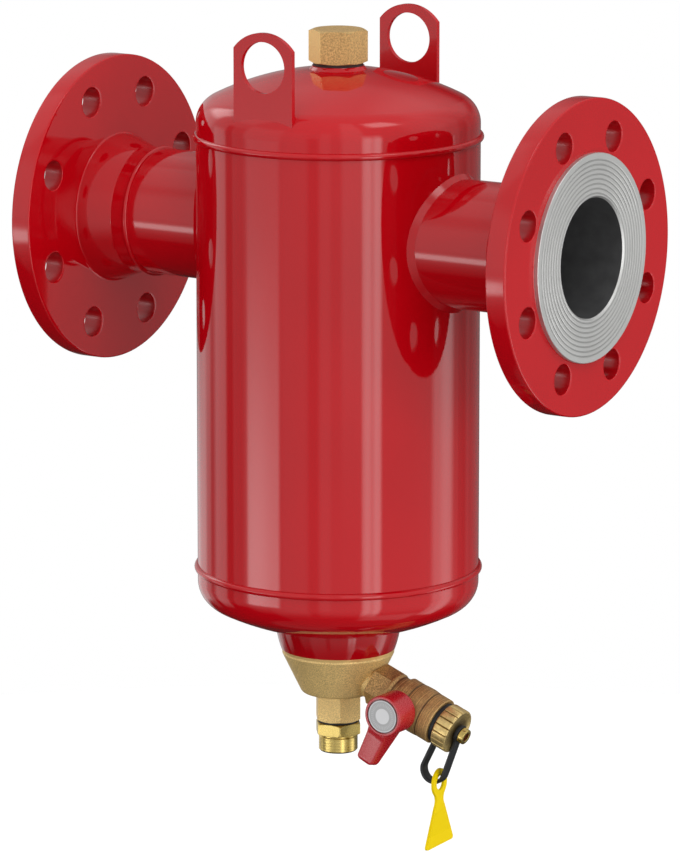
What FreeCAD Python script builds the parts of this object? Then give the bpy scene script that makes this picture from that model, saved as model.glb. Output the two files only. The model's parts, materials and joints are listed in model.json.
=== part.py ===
import FreeCAD, Part
import math
import os
from FreeCAD import Placement, Rotation, Vector

# Magnetic dirt separator for a heating pipe: a welded steel vessel between two flanged
# nozzles, with a vent plug and lifting lugs on top and a cast bowl below that carries the
# magnet pocket and a ball drain valve. Millimetres, +Z up. The origin is the centre of the
# inlet gasket face and +X runs with the flow, so the vessel axis is halfway to the outlet.

# Vessel
FACE_TO_FACE = 350.0
SHELL_OD = 168.3
SHELL_WALL = 4.5
TOP_SEAM_Z = 56.7
BOTTOM_SEAM_Z = -203.4
HEAD_WALL = 4.5
HEAD_STRAIGHT = 8.0
CROWN_RADIUS = 168.3
KNUCKLE_RADIUS = 17.0
SEAM_WELD_WIDTH = 4.2
SEAM_WELD_HEIGHT = 2.0

# Nozzles and flanges
PIPE_OD = 76.1
PIPE_WALL = 2.9
FLANGE_OD = 185.0
FLANGE_RIM = 13.0
FLANGE_EDGE = 1.0
RAISED_FACE_OD = 122.0
RAISED_FACE_HEIGHT = 3.0
BOLT_CIRCLE = 145.0
BOLT_HOLE = 18.0
BOLT_COUNT = 8
HUB_LENGTH = 31.0
HUB_BASE_OD = 89.0
HUB_LAND = 11.0
HUB_FILLET = 1.2
BORE_CHAMFER = 1.0
BUTT_WELD_WIDTH = 3.4
BUTT_WELD_HEIGHT = 1.4
NOZZLE_WELD_LEG = 2.8

# Lifting lugs
LUG_WIDTH = 40.6
LUG_THICKNESS = 3.0
LUG_INSET = 7.45
LUG_TOP_RISE = 29.0
LUG_ARC_RADIUS = 26.0
LUG_EYE = 30.0
LUG_EYE_METAL = 5.2
LUG_WELD_LEG = 2.5

# Vent boss and plug
BOSS_OD = 31.0
BOSS_RISE = 1.3
BOSS_DEPTH = 9.0
BOSS_WELD_LEG = 1.6
VENT_THREAD = 20.8
VENT_CLEARANCE = 0.1
VENT_THREAD_LENGTH = 13.0
VENT_GASKET_OD = 29.6
VENT_GASKET = 1.6
PLUG_FLATS = 30.5
PLUG_TURN = 25.6
PLUG_HEIGHT = 19.8
PLUG_CROWN = 1.2
PLUG_FOOT = 1.0

# Drain collar and cast bowl
COLLAR_TOP_OD = 75.2
COLLAR_HEIGHT = 11.3
COLLAR_BULGE = 0.5
BOWL_OD = 67.4
BOWL_SPIGOT_OD = 57.8
BOWL_SPIGOT_LENGTH = 8.5
BOWL_CLEARANCE = 0.1
BOWL_WALL = 4.6
BOWL_LIP = 1.2
BOWL_DEPTH = 25.8
BOWL_FOOT_OD = 43.6
BOWL_CORNER = 3.5
BOWL_FLOOR = 5.0
BOWL_SEAL = 2.0
BOWL_SEAL_RISE = 2.8
HEX_BOSS_HEIGHT = 17.2
HEX_FLATS = 25.5
HEX_TURN = 7.8
HEX_FACE_SHARE = 0.97
SIDE_BOSS_OD = 21.6

# Magnet pocket and magnet rod
SLEEVE_OD = 17.0
SLEEVE_WALL = 1.5
SLEEVE_TOP_Z = -60.0
SLEEVE_THREAD = 20.8
SLEEVE_THREAD_LENGTH = 11.0
SLEEVE_HEX_HEIGHT = 7.7
SLEEVE_GASKET = 1.1
SLEEVE_GASKET_OD = 24.4
STUB_OD = 23.5
STUB_LENGTH = 10.4
STUB_CHAMFER = 1.0
THREAD_CLEARANCE = 0.1
ROD_CLEARANCE = 0.2
ROD_CORE = 5.0
ROD_PLUG_LENGTH = 14.0
ROD_RECESS = 1.0
ROD_EYE = 5.0
ROD_END_DISC = 2.0
MAGNET_COUNT = 6
MAGNET_LENGTH = 22.0
MAGNET_SPACER = 5.0
MAGNET_FIT = 0.1

# Separating element
ELEMENT_GAP = 5.65
ELEMENT_HUB_WALL = 2.0
ELEMENT_FIN = 1.2
ELEMENT_FINS = 8
ELEMENT_BOTTOM_Z = -86.0
ELEMENT_TOP_Z = 46.0
ELEMENT_RIM = 6.0
ELEMENT_ROWS = 2
ELEMENT_COLUMNS = 1
ELEMENT_BAR = 4.0
ELEMENT_SLEEVE_GAP = 0.3
SUPPORT_WIDTH = 13.0
SUPPORT_THICKNESS = 3.0

# Ball drain valve, measured outwards along its own axis
VALVE_TILT = 21.0
VALVE_CROSSING_DROP = 6.8
SIDE_BOSS_REACH = 29.5
VALVE_BORE = 13.2
VALVE_THREAD = 19.0
VALVE_THREAD_LENGTH = 7.5
END_FLATS = 23.4
END_TURN = 37.5
END_HEX_LENGTH = 12.6
END_SHOULDER_OD = 26.8
END_SHOULDER_LENGTH = 2.8
END_TAPER = 1.6
END_NECK_OD = 25.2
END_SPIGOT_OD = 22.2
END_SPIGOT_LENGTH = 4.9
BODY_LENGTH = 33.0
BODY_OD = 28.9
BODY_BULGE_OD = 29.7
BODY_NECK = 4.4
BODY_RUN_IN = 1.0
BODY_RING = 7.3
BODY_LINE = 0.5
BODY_COLLAR = 8.4
BODY_EDGE = 0.6
BALL_SETBACK = 11.6
BALL_DIAMETER = 19.0
BALL_GAP = 0.1
SEAT_OD = 20.2
SEAT_INNER = 5.2
SEAT_OUTER = 10.2
CAVITY_OD = 20.4
NECK_OD = 22.6
NECK_RELIEF = 2.8
HOSE_THREAD = 24.2
HOSE_THREAD_LENGTH = 6.5
HOSE_CHAMFER = 0.8

# Stem, packing, gland nut and lever, measured from the valve axis towards the lever
STEM_DIAMETER = 7.0
STEM_GAP = 0.05
STEM_BOSS_OD = 17.2
STEM_BOSS_REACH = 15.4
PACKING_OD = 11.0
PACKING_LENGTH = 3.0
GLAND_FLATS = 14.0
GLAND_HEIGHT = 1.5
STEM_SOCKET = 8.5
TANG_WIDTH = 2.8
TANG_DEPTH = 1.7
LEVER_GAP = 0.4
LEVER_SET = 5.8
LEVER_HUB_OD = 24.8
LEVER_HUB_DEPTH = 17.3
GLAND_RECESS_OD = 18.4
LEVER_RIM_ROUND = 0.8
LEVER_REACH = 32.2
LEVER_ROOT_FRONT = 9.0
LEVER_ROOT_BACK = 13.0
LEVER_TIP_FRONT = 8.4
LEVER_TIP_BACK = 10.0
LEVER_TIP_DEPTH = 6.2
LEVER_FACE_STEP = 2.0
LEVER_TIP_STEP = 0.4
LEVER_EDGE = 1.3
DISC_OD = 20.4
DISC_THICKNESS = 0.7
DISC_RECESS = 0.8
DISC_GROOVE = 0.5
LEVER_SCREW = 3.4
LEVER_SCREW_HEAD = 7.4
LEVER_SCREW_HEAD_HEIGHT = 2.4
LEVER_SCREW_GRIP = 3.0
LEVER_SCREW_LENGTH = 7.0
LEVER_SCREW_FIT = 0.1
SCREW_HEAD_ROOM = 1.0

# Hose cap, strap and tag
CAP_OD = 27.8
CAP_LENGTH = 10.2
CAP_WALL = 2.5
CAP_THREAD_GAP = 0.3
CAP_EDGE = 1.2
CAP_FLUTES = 18
FLUTE_LAND_SHARE = 0.70
FLUTE_DEPTH = 0.6
CAP_GASKET = 1.0
CAP_SCREW = 4.2
CAP_SCREW_HEAD = 9.6
CAP_SCREW_HEAD_HEIGHT = 3.5
CAP_SCREW_KEY = 5.0
CAP_SCREW_KEY_DEPTH = 2.4
STRAP_THICKNESS = 2.4
STRAP_WIDTH = 6.3
STRAP_NECK_RING_OD = 27.4
STRAP_SCREW_RING_OD = 11.0
STRAP_GAP = 0.3
NECK_RING_GAP = 0.1
STRAP_DROP = 29.2
STRAP_FLARE = 1.8
TAG_THICKNESS = 1.5
TAG_OFFSET = 3.2
TAG_GAP = 0.3
TAG_EYE = 9.0
TAG_TURN = 4.0
TAG_EYE_OD = 17.4
TAG_NECK = 8.6
TAG_NECK_DROP = 10.2
TAG_WAIST = 11.2
TAG_WAIST_DROP = 13.8
TAG_WIDTH = 34.8
TAG_DROP = 38.4
TAG_CORNER = 1.5

AXIS_X = FACE_TO_FACE / 2
SHELL_R = SHELL_OD / 2
SHELL_INNER_R = SHELL_R - SHELL_WALL
ELEMENT_R = SHELL_INNER_R - ELEMENT_GAP
PIPE_R = PIPE_OD / 2
BORE_R = PIPE_R - PIPE_WALL
UP = Vector(0, 0, 1)
NEAR = 0.01
ORIGIN = Vector(0, 0, 0)


def point(pair):
    """A point of the XZ plane, where every turned or bent outline is drawn."""
    return Vector(pair[0], 0, pair[1])


def outline(start, *steps):
    """Face inside a closed outline: a pair draws a line to it, two pairs an arc through the first."""
    edges = []
    here = point(start)
    for step in steps + (start,):
        if isinstance(step[0], tuple):
            end = point(step[1])
            edges.append(Part.Arc(here, point(step[0]), end).toShape())
        else:
            end = point(step)
            if end.distanceToPoint(here) > 1e-7:
                edges.append(Part.makeLine(here, end))
        here = end
    return Part.Face(Part.Wire(edges))


def turned(start, *steps):
    """Solid of revolution about Z of an outline given as (radius, height) pairs."""
    solid = outline(start, *steps).revolve(ORIGIN, UP, 360)
    if solid.Volume < 0:
        solid.reverse()
    return solid


def rod(diameter, low, high):
    """Round bar along Z between two heights."""
    return Part.makeCylinder(diameter / 2, high - low, Vector(0, 0, low))


def tube(outer, inner, low, high):
    """Round tube along Z between two heights, by its two diameters."""
    return rod(outer, low, high).cut(rod(inner, low, high))


def block(low, high):
    """Box between two opposite corners."""
    size = [b - a for a, b in zip(low, high)]
    return Part.makeBox(*size, Vector(*low))


def hexagon(flats, low, high, turn):
    """Hexagonal bar along Z, with a corner at the angle turn."""
    radius = flats / math.sqrt(3)
    angles = [math.radians(turn + 60 * k) for k in range(7)]
    corners = [Vector(radius * math.cos(a), radius * math.sin(a), low) for a in angles]
    return Part.Face(Part.makePolygon(corners)).extrude(Vector(0, 0, high - low))


def chamfered_hexagon(flats, low, high, turn, foot, crown):
    """Hexagonal bar whose corners are cut back by a cone at its low and its high end."""
    corner = flats / math.sqrt(3)
    face = flats / 2 * HEX_FACE_SHARE
    blank = turned((0, low), (face, low), (corner, low + foot), (corner, high - crown),
                   (face, high), (0, high))
    return hexagon(flats, low, high, turn).common(blank)


def along_y(shape):
    """Turns a shape drawn about Z so that its axis points along +Y."""
    return shape.rotated(ORIGIN, Vector(1, 0, 0), -90)


def only_solid(shape):
    """The single solid of a boolean result, or the result itself if it has several."""
    cleaned = shape.removeSplitter()
    return cleaned.Solids[0] if len(cleaned.Solids) == 1 else cleaned


# Heads: the crown is a sphere and the knuckle a torus that runs into the straight flange.

CROWN_DEPTH = CROWN_RADIUS - math.sqrt(
    (CROWN_RADIUS - KNUCKLE_RADIUS) ** 2 - (SHELL_R - KNUCKLE_RADIUS) ** 2)
APEX_Z = TOP_SEAM_Z + HEAD_STRAIGHT + CROWN_DEPTH
BOTTOM_APEX_Z = BOTTOM_SEAM_Z - HEAD_STRAIGHT - CROWN_DEPTH


def crown_z(radius, apex, up):
    """Height of the crown's outer face at a radius; up is 1 on the top head, -1 below."""
    return apex - up * (CROWN_RADIUS - math.sqrt(CROWN_RADIUS ** 2 - radius ** 2))


def head_arcs(seam_z, up, depth_in):
    """Outline pieces of a head's face lying depth_in inside its outer face."""
    lean = math.asin((SHELL_R - KNUCKLE_RADIUS) / (CROWN_RADIUS - KNUCKLE_RADIUS))
    spring = HEAD_STRAIGHT
    crown_centre = spring + CROWN_DEPTH - CROWN_RADIUS
    crown = CROWN_RADIUS - depth_in
    knuckle = KNUCKLE_RADIUS - depth_in

    def on_crown(angle):
        return crown * math.sin(angle), seam_z + up * (crown_centre + crown * math.cos(angle))

    def on_knuckle(angle):
        radius = SHELL_R - KNUCKLE_RADIUS + knuckle * math.sin(angle)
        return radius, seam_z + up * (spring + knuckle * math.cos(angle))

    return on_crown, on_knuckle, lean


def head_solid(seam_z, up):
    """The whole space that a head closes, up to its outer face."""
    on_crown, on_knuckle, lean = head_arcs(seam_z, up, 0)
    knuckle_middle = on_knuckle((lean + math.pi / 2) / 2)
    return turned((0, seam_z), (SHELL_R, seam_z), on_knuckle(math.pi / 2),
                  (knuckle_middle, on_crown(lean)), (on_crown(lean / 2), on_crown(0)))


def head(seam_z, up):
    """Dished head with its straight flange, before any hole is cut in it."""
    on_crown, on_knuckle, lean = head_arcs(seam_z, up, HEAD_WALL)
    knuckle_middle = on_knuckle((lean + math.pi / 2) / 2)
    hollow = turned((0, seam_z), (SHELL_R - HEAD_WALL, seam_z), on_knuckle(math.pi / 2),
                    (knuckle_middle, on_crown(lean)), (on_crown(lean / 2), on_crown(0)))
    return head_solid(seam_z, up).cut(hollow)


def seam_weld(seam_z):
    """Rounded bead that runs round the seam of shell and head."""
    half = SEAM_WELD_WIDTH / 2
    return turned((SHELL_R, seam_z - half),
                  ((SHELL_R + SEAM_WELD_HEIGHT, seam_z), (SHELL_R, seam_z + half)))


# Nozzle pieces are drawn along Z outwards from the vessel axis.

FACE = AXIS_X
RIM = FACE - RAISED_FACE_HEIGHT
FLANGE_BACK = RIM - FLANGE_RIM
HUB_END = FLANGE_BACK - HUB_LENGTH
OUTLET = Placement(Vector(0, 0, 0), Rotation(Vector(0, 1, 0), 90))
INLET = Placement(Vector(0, 0, 0), Rotation(Vector(0, 1, 0), -90))


def flange():
    """Weld-neck flange with a raised gasket face, its hub and its bolt holes."""
    rim_r = FLANGE_OD / 2
    raised_r = RAISED_FACE_OD / 2
    base_r = HUB_BASE_OD / 2
    bend = HUB_FILLET * (1 - math.sqrt(0.5))
    body = turned((BORE_R, HUB_END), (PIPE_R, HUB_END), (PIPE_R, HUB_END + HUB_LAND),
                  (base_r, FLANGE_BACK - HUB_FILLET),
                  ((base_r + bend, FLANGE_BACK - bend), (base_r + HUB_FILLET, FLANGE_BACK)),
                  (rim_r - FLANGE_EDGE, FLANGE_BACK), (rim_r, FLANGE_BACK + FLANGE_EDGE),
                  (rim_r, RIM - FLANGE_EDGE), (rim_r - FLANGE_EDGE, RIM),
                  (raised_r, RIM), (raised_r, FACE), (BORE_R + BORE_CHAMFER, FACE),
                  (BORE_R, FACE - BORE_CHAMFER))
    for k in range(BOLT_COUNT):
        angle = 2 * math.pi * (k + 0.5) / BOLT_COUNT
        centre = Vector(math.cos(angle), math.sin(angle), 0) * (BOLT_CIRCLE / 2)
        hole = rod(BOLT_HOLE, FLANGE_BACK - HUB_FILLET, FACE)
        hole.translate(centre)
        body = body.cut(hole)
    return body


def nozzle_pipe():
    """Pipe between the flange hub and the shell, cut to the shell's inner face."""
    blank = tube(PIPE_OD, 2 * BORE_R, 0, HUB_END)
    inside = Part.makeCylinder(SHELL_INNER_R, 2 * PIPE_OD, Vector(-PIPE_OD, 0, 0), Vector(1, 0, 0))
    return only_solid(blank.cut(inside))


def butt_weld():
    """Rounded bead over the joint of hub and pipe."""
    half = BUTT_WELD_WIDTH / 2
    return turned((PIPE_R, HUB_END - half),
                  ((PIPE_R + BUTT_WELD_HEIGHT, HUB_END), (PIPE_R, HUB_END + half)))


def nozzle_weld():
    """Fillet weld where the pipe leaves the shell: what a chamfer of their corner adds."""
    shell_bar = Part.makeCylinder(SHELL_R, 2 * PIPE_OD, Vector(-PIPE_OD, 0, 0), Vector(1, 0, 0))
    joined = shell_bar.fuse(rod(PIPE_OD, 0, HUB_END))
    corner = []
    for edge in joined.Edges:
        spots = edge.discretize(12)
        on_pipe = all(abs(math.hypot(p.x, p.y) - PIPE_R) < NEAR for p in spots)
        on_shell = all(abs(math.hypot(p.y, p.z) - SHELL_R) < NEAR for p in spots)
        if on_pipe and on_shell and min(p.z for p in spots) > 0:
            corner.append(edge)
    return only_solid(joined.makeChamfer(NOZZLE_WELD_LEG, corner).cut(joined))


def shell():
    """Rolled shell with a hole for each nozzle pipe."""
    wall = tube(SHELL_OD, 2 * SHELL_INNER_R, BOTTOM_SEAM_Z, TOP_SEAM_Z)
    cut = Part.makeCylinder(PIPE_R, 2 * SHELL_OD, Vector(-SHELL_OD, 0, 0), Vector(1, 0, 0))
    return wall.cut(cut)


# Lifting lugs stand upright on the knuckle of the top head, fore and aft of the vent plug.

LUG_INNER_Y = SHELL_R - LUG_INSET
LUG_TOP_Z = APEX_Z + LUG_TOP_RISE
EYE_Z = LUG_TOP_Z - LUG_EYE_METAL - LUG_EYE / 2


def lug():
    """Plate with an arched top and an eye, its foot cut to the head's outer face."""
    half = LUG_WIDTH / 2
    side_z = LUG_TOP_Z - LUG_ARC_RADIUS + math.sqrt(LUG_ARC_RADIUS ** 2 - half ** 2)
    plate = outline((-half, TOP_SEAM_Z), (half, TOP_SEAM_Z), (half, side_z),
                    ((0, LUG_TOP_Z), (-half, side_z)))
    plate = plate.extrude(Vector(0, LUG_THICKNESS, 0))
    plate.translate(Vector(0, LUG_INNER_Y, 0))
    eye = Part.makeCylinder(LUG_EYE / 2, LUG_THICKNESS, Vector(0, LUG_INNER_Y, EYE_Z), Vector(0, 1, 0))
    return only_solid(plate.cut(eye).cut(head_solid(TOP_SEAM_Z, 1)))


def lug_weld():
    """Fillet weld along the inner foot of a lug."""
    joined = head_solid(TOP_SEAM_Z, 1).fuse(lug())
    corner = []
    for edge in joined.Edges:
        box = edge.BoundBox
        on_face = abs(box.YMin - LUG_INNER_Y) < NEAR and box.YLength < NEAR
        if on_face and box.XLength > LUG_WIDTH / 2 and box.ZMax < EYE_Z - LUG_EYE / 2:
            corner.append(edge)
    return only_solid(joined.makeChamfer(LUG_WELD_LEG, corner).cut(joined))


# Vent boss, gasket and plug

BOSS_TOP_Z = APEX_Z + BOSS_RISE
PLUG_Z = BOSS_TOP_Z + VENT_GASKET


def vent_boss():
    """Threaded boss let into the head."""
    return tube(BOSS_OD, VENT_THREAD + 2 * VENT_CLEARANCE, APEX_Z - BOSS_DEPTH, BOSS_TOP_Z)


def vent_boss_weld():
    """Small fillet weld round the boss, on the crown of the head."""
    inner = BOSS_OD / 2
    outer = inner + BOSS_WELD_LEG
    foot = (inner, crown_z(inner, APEX_Z, 1))
    toe = (outer, crown_z(outer, APEX_Z, 1))
    middle_r = (inner + outer) / 2
    middle = (middle_r, crown_z(middle_r, APEX_Z, 1))
    top = (inner, min(foot[1] + BOSS_WELD_LEG, BOSS_TOP_Z))
    return turned(foot, (middle, toe), top)


def vent_plug():
    """Hexagonal plug with a low crown, its washer face and its threaded shank."""
    shank = rod(VENT_THREAD, PLUG_Z - VENT_THREAD_LENGTH, PLUG_Z)
    top = PLUG_Z + PLUG_HEIGHT
    body = chamfered_hexagon(PLUG_FLATS, PLUG_Z, top, PLUG_TURN, PLUG_FOOT, PLUG_CROWN)
    return only_solid(body.fuse(shank))


# Drain collar and cast bowl. The valve frame has Z along the valve, X up and Y to the lever.

COLLAR_TOP_R = COLLAR_TOP_OD / 2
BOWL_R = BOWL_OD / 2
SPIGOT_R = BOWL_SPIGOT_OD / 2
SOCKET_R = SPIGOT_R + BOWL_CLEARANCE
BOWL_TOP_Z = BOTTOM_APEX_Z - COLLAR_HEIGHT
BOWL_BOTTOM_Z = BOWL_TOP_Z - BOWL_DEPTH
HEX_BOSS_Z = BOWL_BOTTOM_Z - HEX_BOSS_HEIGHT
VALVE_Z = BOWL_TOP_Z - VALVE_CROSSING_DROP
TILT = math.radians(VALVE_TILT)
VALVE_OUT = Vector(math.cos(TILT), 0, -math.sin(TILT))
VALVE_UP = Vector(math.sin(TILT), 0, math.cos(TILT))
VALVE_FRAME = Placement(Vector(0, 0, VALVE_Z),
                        Rotation(VALVE_UP, Vector(0, -1, 0), VALVE_OUT, "ZXY"))


def in_valve_frame(shape):
    """Moves a shape drawn in the valve frame to the vessel axis frame."""
    placed = shape.copy()
    placed.Placement = VALVE_FRAME.multiply(placed.Placement)
    return placed


def drain_collar():
    """Collar welded under the bottom head, seated on its crown, with the bowl's socket."""
    seat_z = crown_z(COLLAR_TOP_R, BOTTOM_APEX_Z, -1)
    bore_z = crown_z(SOCKET_R, BOTTOM_APEX_Z, -1)
    middle_r = (SOCKET_R + COLLAR_TOP_R) / 2
    middle = (middle_r, crown_z(middle_r, BOTTOM_APEX_Z, -1))
    side = ((COLLAR_TOP_R + BOWL_R) / 2 + COLLAR_BULGE, (seat_z + BOWL_TOP_Z) / 2)
    return turned((SOCKET_R, bore_z), (middle, (COLLAR_TOP_R, seat_z)),
                  (side, (BOWL_R, BOWL_TOP_Z)), (SOCKET_R, BOWL_TOP_Z))


def bowl_seal():
    """Sealing ring in the groove of the bowl's spigot."""
    low = BOWL_TOP_Z + BOWL_SEAL_RISE - BOWL_SEAL / 2
    return tube(BOWL_SPIGOT_OD, BOWL_SPIGOT_OD - 2 * BOWL_SEAL, low, low + BOWL_SEAL)


def drain_bowl():
    """Cast bowl: cone, rounded foot, hexagonal boss below and round boss for the valve."""
    foot_r = BOWL_FOOT_OD / 2
    lip_z = BOWL_TOP_Z - BOWL_LIP
    spigot_z = BOWL_TOP_Z + BOWL_SPIGOT_LENGTH
    floor_z = BOWL_BOTTOM_Z + BOWL_FLOOR
    casting = turned((0, spigot_z), (SPIGOT_R, spigot_z), (SPIGOT_R, BOWL_TOP_Z), (BOWL_R, BOWL_TOP_Z),
                     (BOWL_R, lip_z), (foot_r, BOWL_BOTTOM_Z), (0, BOWL_BOTTOM_Z))
    foot = [e for e in casting.Edges if e.BoundBox.ZMax < BOWL_BOTTOM_Z + NEAR and e.Length > foot_r]
    casting = casting.makeFillet(BOWL_CORNER, foot)
    corner_r = HEX_FLATS / math.sqrt(3)
    rounded = turned((0, HEX_BOSS_Z), (HEX_FLATS / 2, HEX_BOSS_Z), (corner_r, HEX_BOSS_Z + BOWL_LIP),
                     (corner_r, floor_z), (0, floor_z))
    boss = hexagon(HEX_FLATS, HEX_BOSS_Z, BOWL_BOTTOM_Z + BOWL_FLOOR / 2, HEX_TURN).common(rounded)
    side = in_valve_frame(rod(SIDE_BOSS_OD, 0, SIDE_BOSS_REACH))
    hollow = turned((0, spigot_z), (SPIGOT_R - BOWL_WALL, spigot_z), (SPIGOT_R - BOWL_WALL, lip_z),
                    (foot_r - BOWL_WALL, floor_z), (0, floor_z))
    centre_bore = rod(SLEEVE_THREAD + 2 * THREAD_CLEARANCE, HEX_BOSS_Z, floor_z)
    side_bore = in_valve_frame(rod(VALVE_THREAD + 2 * THREAD_CLEARANCE, 0, SIDE_BOSS_REACH))
    groove = rod(BOWL_OD, 0, BOWL_SEAL).cut(rod(BOWL_SPIGOT_OD - 2 * BOWL_SEAL, 0, BOWL_SEAL))
    groove.translate(Vector(0, 0, BOWL_TOP_Z + BOWL_SEAL_RISE - BOWL_SEAL / 2))
    return only_solid(casting.fuse([boss, side]).cut([hollow, centre_bore, side_bore, groove]))


# Magnet pocket: a dry sleeve screwed into the bowl, and the magnet rod that slides out of it.

SLEEVE_SEAT_Z = HEX_BOSS_Z - SLEEVE_GASKET
SLEEVE_HEX_Z = SLEEVE_SEAT_Z - SLEEVE_HEX_HEIGHT
STUB_END_Z = SLEEVE_HEX_Z - STUB_LENGTH
POCKET_R = SLEEVE_OD / 2 - SLEEVE_WALL
ROD_R = POCKET_R - ROD_CLEARANCE
ROD_LOW_Z = STUB_END_Z + ROD_RECESS
MAGNET_LOW_Z = ROD_LOW_Z + ROD_PLUG_LENGTH
MAGNET_PITCH = MAGNET_LENGTH + MAGNET_SPACER
MAGNET_HIGH_Z = MAGNET_LOW_Z + MAGNET_COUNT * MAGNET_PITCH


def magnet_sleeve():
    """Dry pocket with a domed end, its thread, hexagonal collar and threaded stub."""
    outer = SLEEVE_OD / 2
    thread_r = SLEEVE_THREAD / 2
    thread_z = HEX_BOSS_Z + SLEEVE_THREAD_LENGTH
    stub_r = STUB_OD / 2
    slope = math.sqrt(0.5)
    body = turned((0, STUB_END_Z), (stub_r - STUB_CHAMFER, STUB_END_Z),
                  (stub_r, STUB_END_Z + STUB_CHAMFER), (stub_r, SLEEVE_HEX_Z),
                  (thread_r, SLEEVE_HEX_Z), (thread_r, thread_z), (outer, thread_z),
                  (outer, SLEEVE_TOP_Z - outer),
                  ((outer * slope, SLEEVE_TOP_Z - outer + outer * slope), (0, SLEEVE_TOP_Z)))
    collar = chamfered_hexagon(HEX_FLATS, SLEEVE_HEX_Z, SLEEVE_SEAT_Z, HEX_TURN, STUB_CHAMFER, STUB_CHAMFER)
    inner_top = SLEEVE_TOP_Z - outer
    pocket = turned((0, STUB_END_Z), (POCKET_R, STUB_END_Z), (POCKET_R, inner_top),
                    ((POCKET_R * slope, inner_top + POCKET_R * slope), (0, inner_top + POCKET_R)))
    return only_solid(body.fuse(collar).cut(pocket))


def sleeve_gasket():
    """Flat gasket between the bowl's boss and the sleeve's collar."""
    return tube(SLEEVE_GASKET_OD, SLEEVE_THREAD + 2 * THREAD_CLEARANCE, SLEEVE_SEAT_Z, HEX_BOSS_Z)


def magnet_rod():
    """Core rod with the end plug that closes the pocket and the disc that holds the stack."""
    plug = rod(2 * ROD_R, ROD_LOW_Z, MAGNET_LOW_Z)
    eye = along_y(rod(ROD_EYE, -ROD_R, ROD_R))
    eye.translate(Vector(0, 0, ROD_LOW_Z + ROD_EYE))
    core = rod(ROD_CORE, MAGNET_LOW_Z, MAGNET_HIGH_Z)
    disc = rod(2 * ROD_R, MAGNET_HIGH_Z, MAGNET_HIGH_Z + ROD_END_DISC)
    return only_solid(plug.cut(eye).fuse([core, disc]))


def rod_rings(length, offset):
    """One ring per magnet on the core rod, at an offset within each pitch."""
    bore = ROD_CORE + 2 * MAGNET_FIT
    rings = []
    for k in range(MAGNET_COUNT):
        low = MAGNET_LOW_Z + k * MAGNET_PITCH + offset
        rings.append(tube(2 * ROD_R, bore, low, low + length))
    return Part.makeCompound(rings)


# Separating element: fins with windows round the pocket, on a ring welded in the shell.


def fin():
    """One radial fin with its rows and columns of windows."""
    inner = SLEEVE_OD / 2 + ELEMENT_SLEEVE_GAP + ELEMENT_HUB_WALL / 2
    outer = ELEMENT_R - ELEMENT_HUB_WALL / 2
    half = ELEMENT_FIN / 2
    plate = block((inner, -half, ELEMENT_BOTTOM_Z), (outer, half, ELEMENT_TOP_Z))
    low_z = ELEMENT_BOTTOM_Z + ELEMENT_RIM
    pitch_x = (outer - inner - ELEMENT_BAR) / ELEMENT_COLUMNS
    pitch_z = (ELEMENT_TOP_Z - ELEMENT_BOTTOM_Z - 2 * ELEMENT_RIM + ELEMENT_BAR) / ELEMENT_ROWS
    windows = []
    for column in range(ELEMENT_COLUMNS):
        for row in range(ELEMENT_ROWS):
            x = inner + ELEMENT_BAR + column * pitch_x
            z = low_z + row * pitch_z
            windows.append(block((x, -half, z), (x + pitch_x - ELEMENT_BAR, half, z + pitch_z - ELEMENT_BAR)))
    return plate.cut(windows)


def mesh_element():
    """Hub, fins and two rims in one moulding."""
    hub_inner = SLEEVE_OD + 2 * ELEMENT_SLEEVE_GAP
    hub = tube(hub_inner + 2 * ELEMENT_HUB_WALL, hub_inner, ELEMENT_BOTTOM_Z, ELEMENT_TOP_Z)
    rim = 2 * ELEMENT_R
    rim_inner = rim - 2 * ELEMENT_HUB_WALL
    pieces = [tube(rim, rim_inner, ELEMENT_BOTTOM_Z, ELEMENT_BOTTOM_Z + ELEMENT_RIM),
              tube(rim, rim_inner, ELEMENT_TOP_Z - ELEMENT_RIM, ELEMENT_TOP_Z)]
    single = fin()
    for k in range(ELEMENT_FINS):
        pieces.append(single.rotated(ORIGIN, UP, 360 * (k + 0.5) / ELEMENT_FINS))
    return only_solid(hub.fuse(pieces))


def element_support():
    """Ring welded inside the shell, on which the element rests."""
    outer = 2 * SHELL_INNER_R
    return tube(outer, outer - 2 * SUPPORT_WIDTH, ELEMENT_BOTTOM_Z - SUPPORT_THICKNESS, ELEMENT_BOTTOM_Z)


# Drain valve stations along its axis

END_HEX_END = SIDE_BOSS_REACH + END_HEX_LENGTH
BODY_START = END_HEX_END + END_SHOULDER_LENGTH
BALL_AT = BODY_START + BALL_SETBACK
BODY_END = BODY_START + BODY_LENGTH
RELIEF_END = BODY_END + NECK_RELIEF
HOSE_END = RELIEF_END + HOSE_THREAD_LENGTH
SPIGOT_END = BODY_START + END_SPIGOT_LENGTH
CAVITY_END = BALL_AT + SEAT_OUTER


def valve_end_piece():
    """Hexagonal end piece that screws into the bowl and closes the valve body."""
    thread_start = SIDE_BOSS_REACH - VALVE_THREAD_LENGTH
    shoulder_r = END_SHOULDER_OD / 2
    shaft = turned((0, thread_start), (VALVE_THREAD / 2, thread_start), (VALVE_THREAD / 2, END_HEX_END),
                   (shoulder_r, END_HEX_END), (shoulder_r, BODY_START - END_TAPER),
                   (END_NECK_OD / 2, BODY_START), (END_SPIGOT_OD / 2, BODY_START),
                   (END_SPIGOT_OD / 2, SPIGOT_END), (0, SPIGOT_END))
    grip = hexagon(END_FLATS, SIDE_BOSS_REACH, END_HEX_END, END_TURN)
    passage = rod(VALVE_BORE, thread_start, SPIGOT_END)
    seat_pocket = rod(CAVITY_OD, BALL_AT - SEAT_OUTER, SPIGOT_END)
    return only_solid(shaft.fuse(grip).cut([passage, seat_pocket]))


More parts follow.
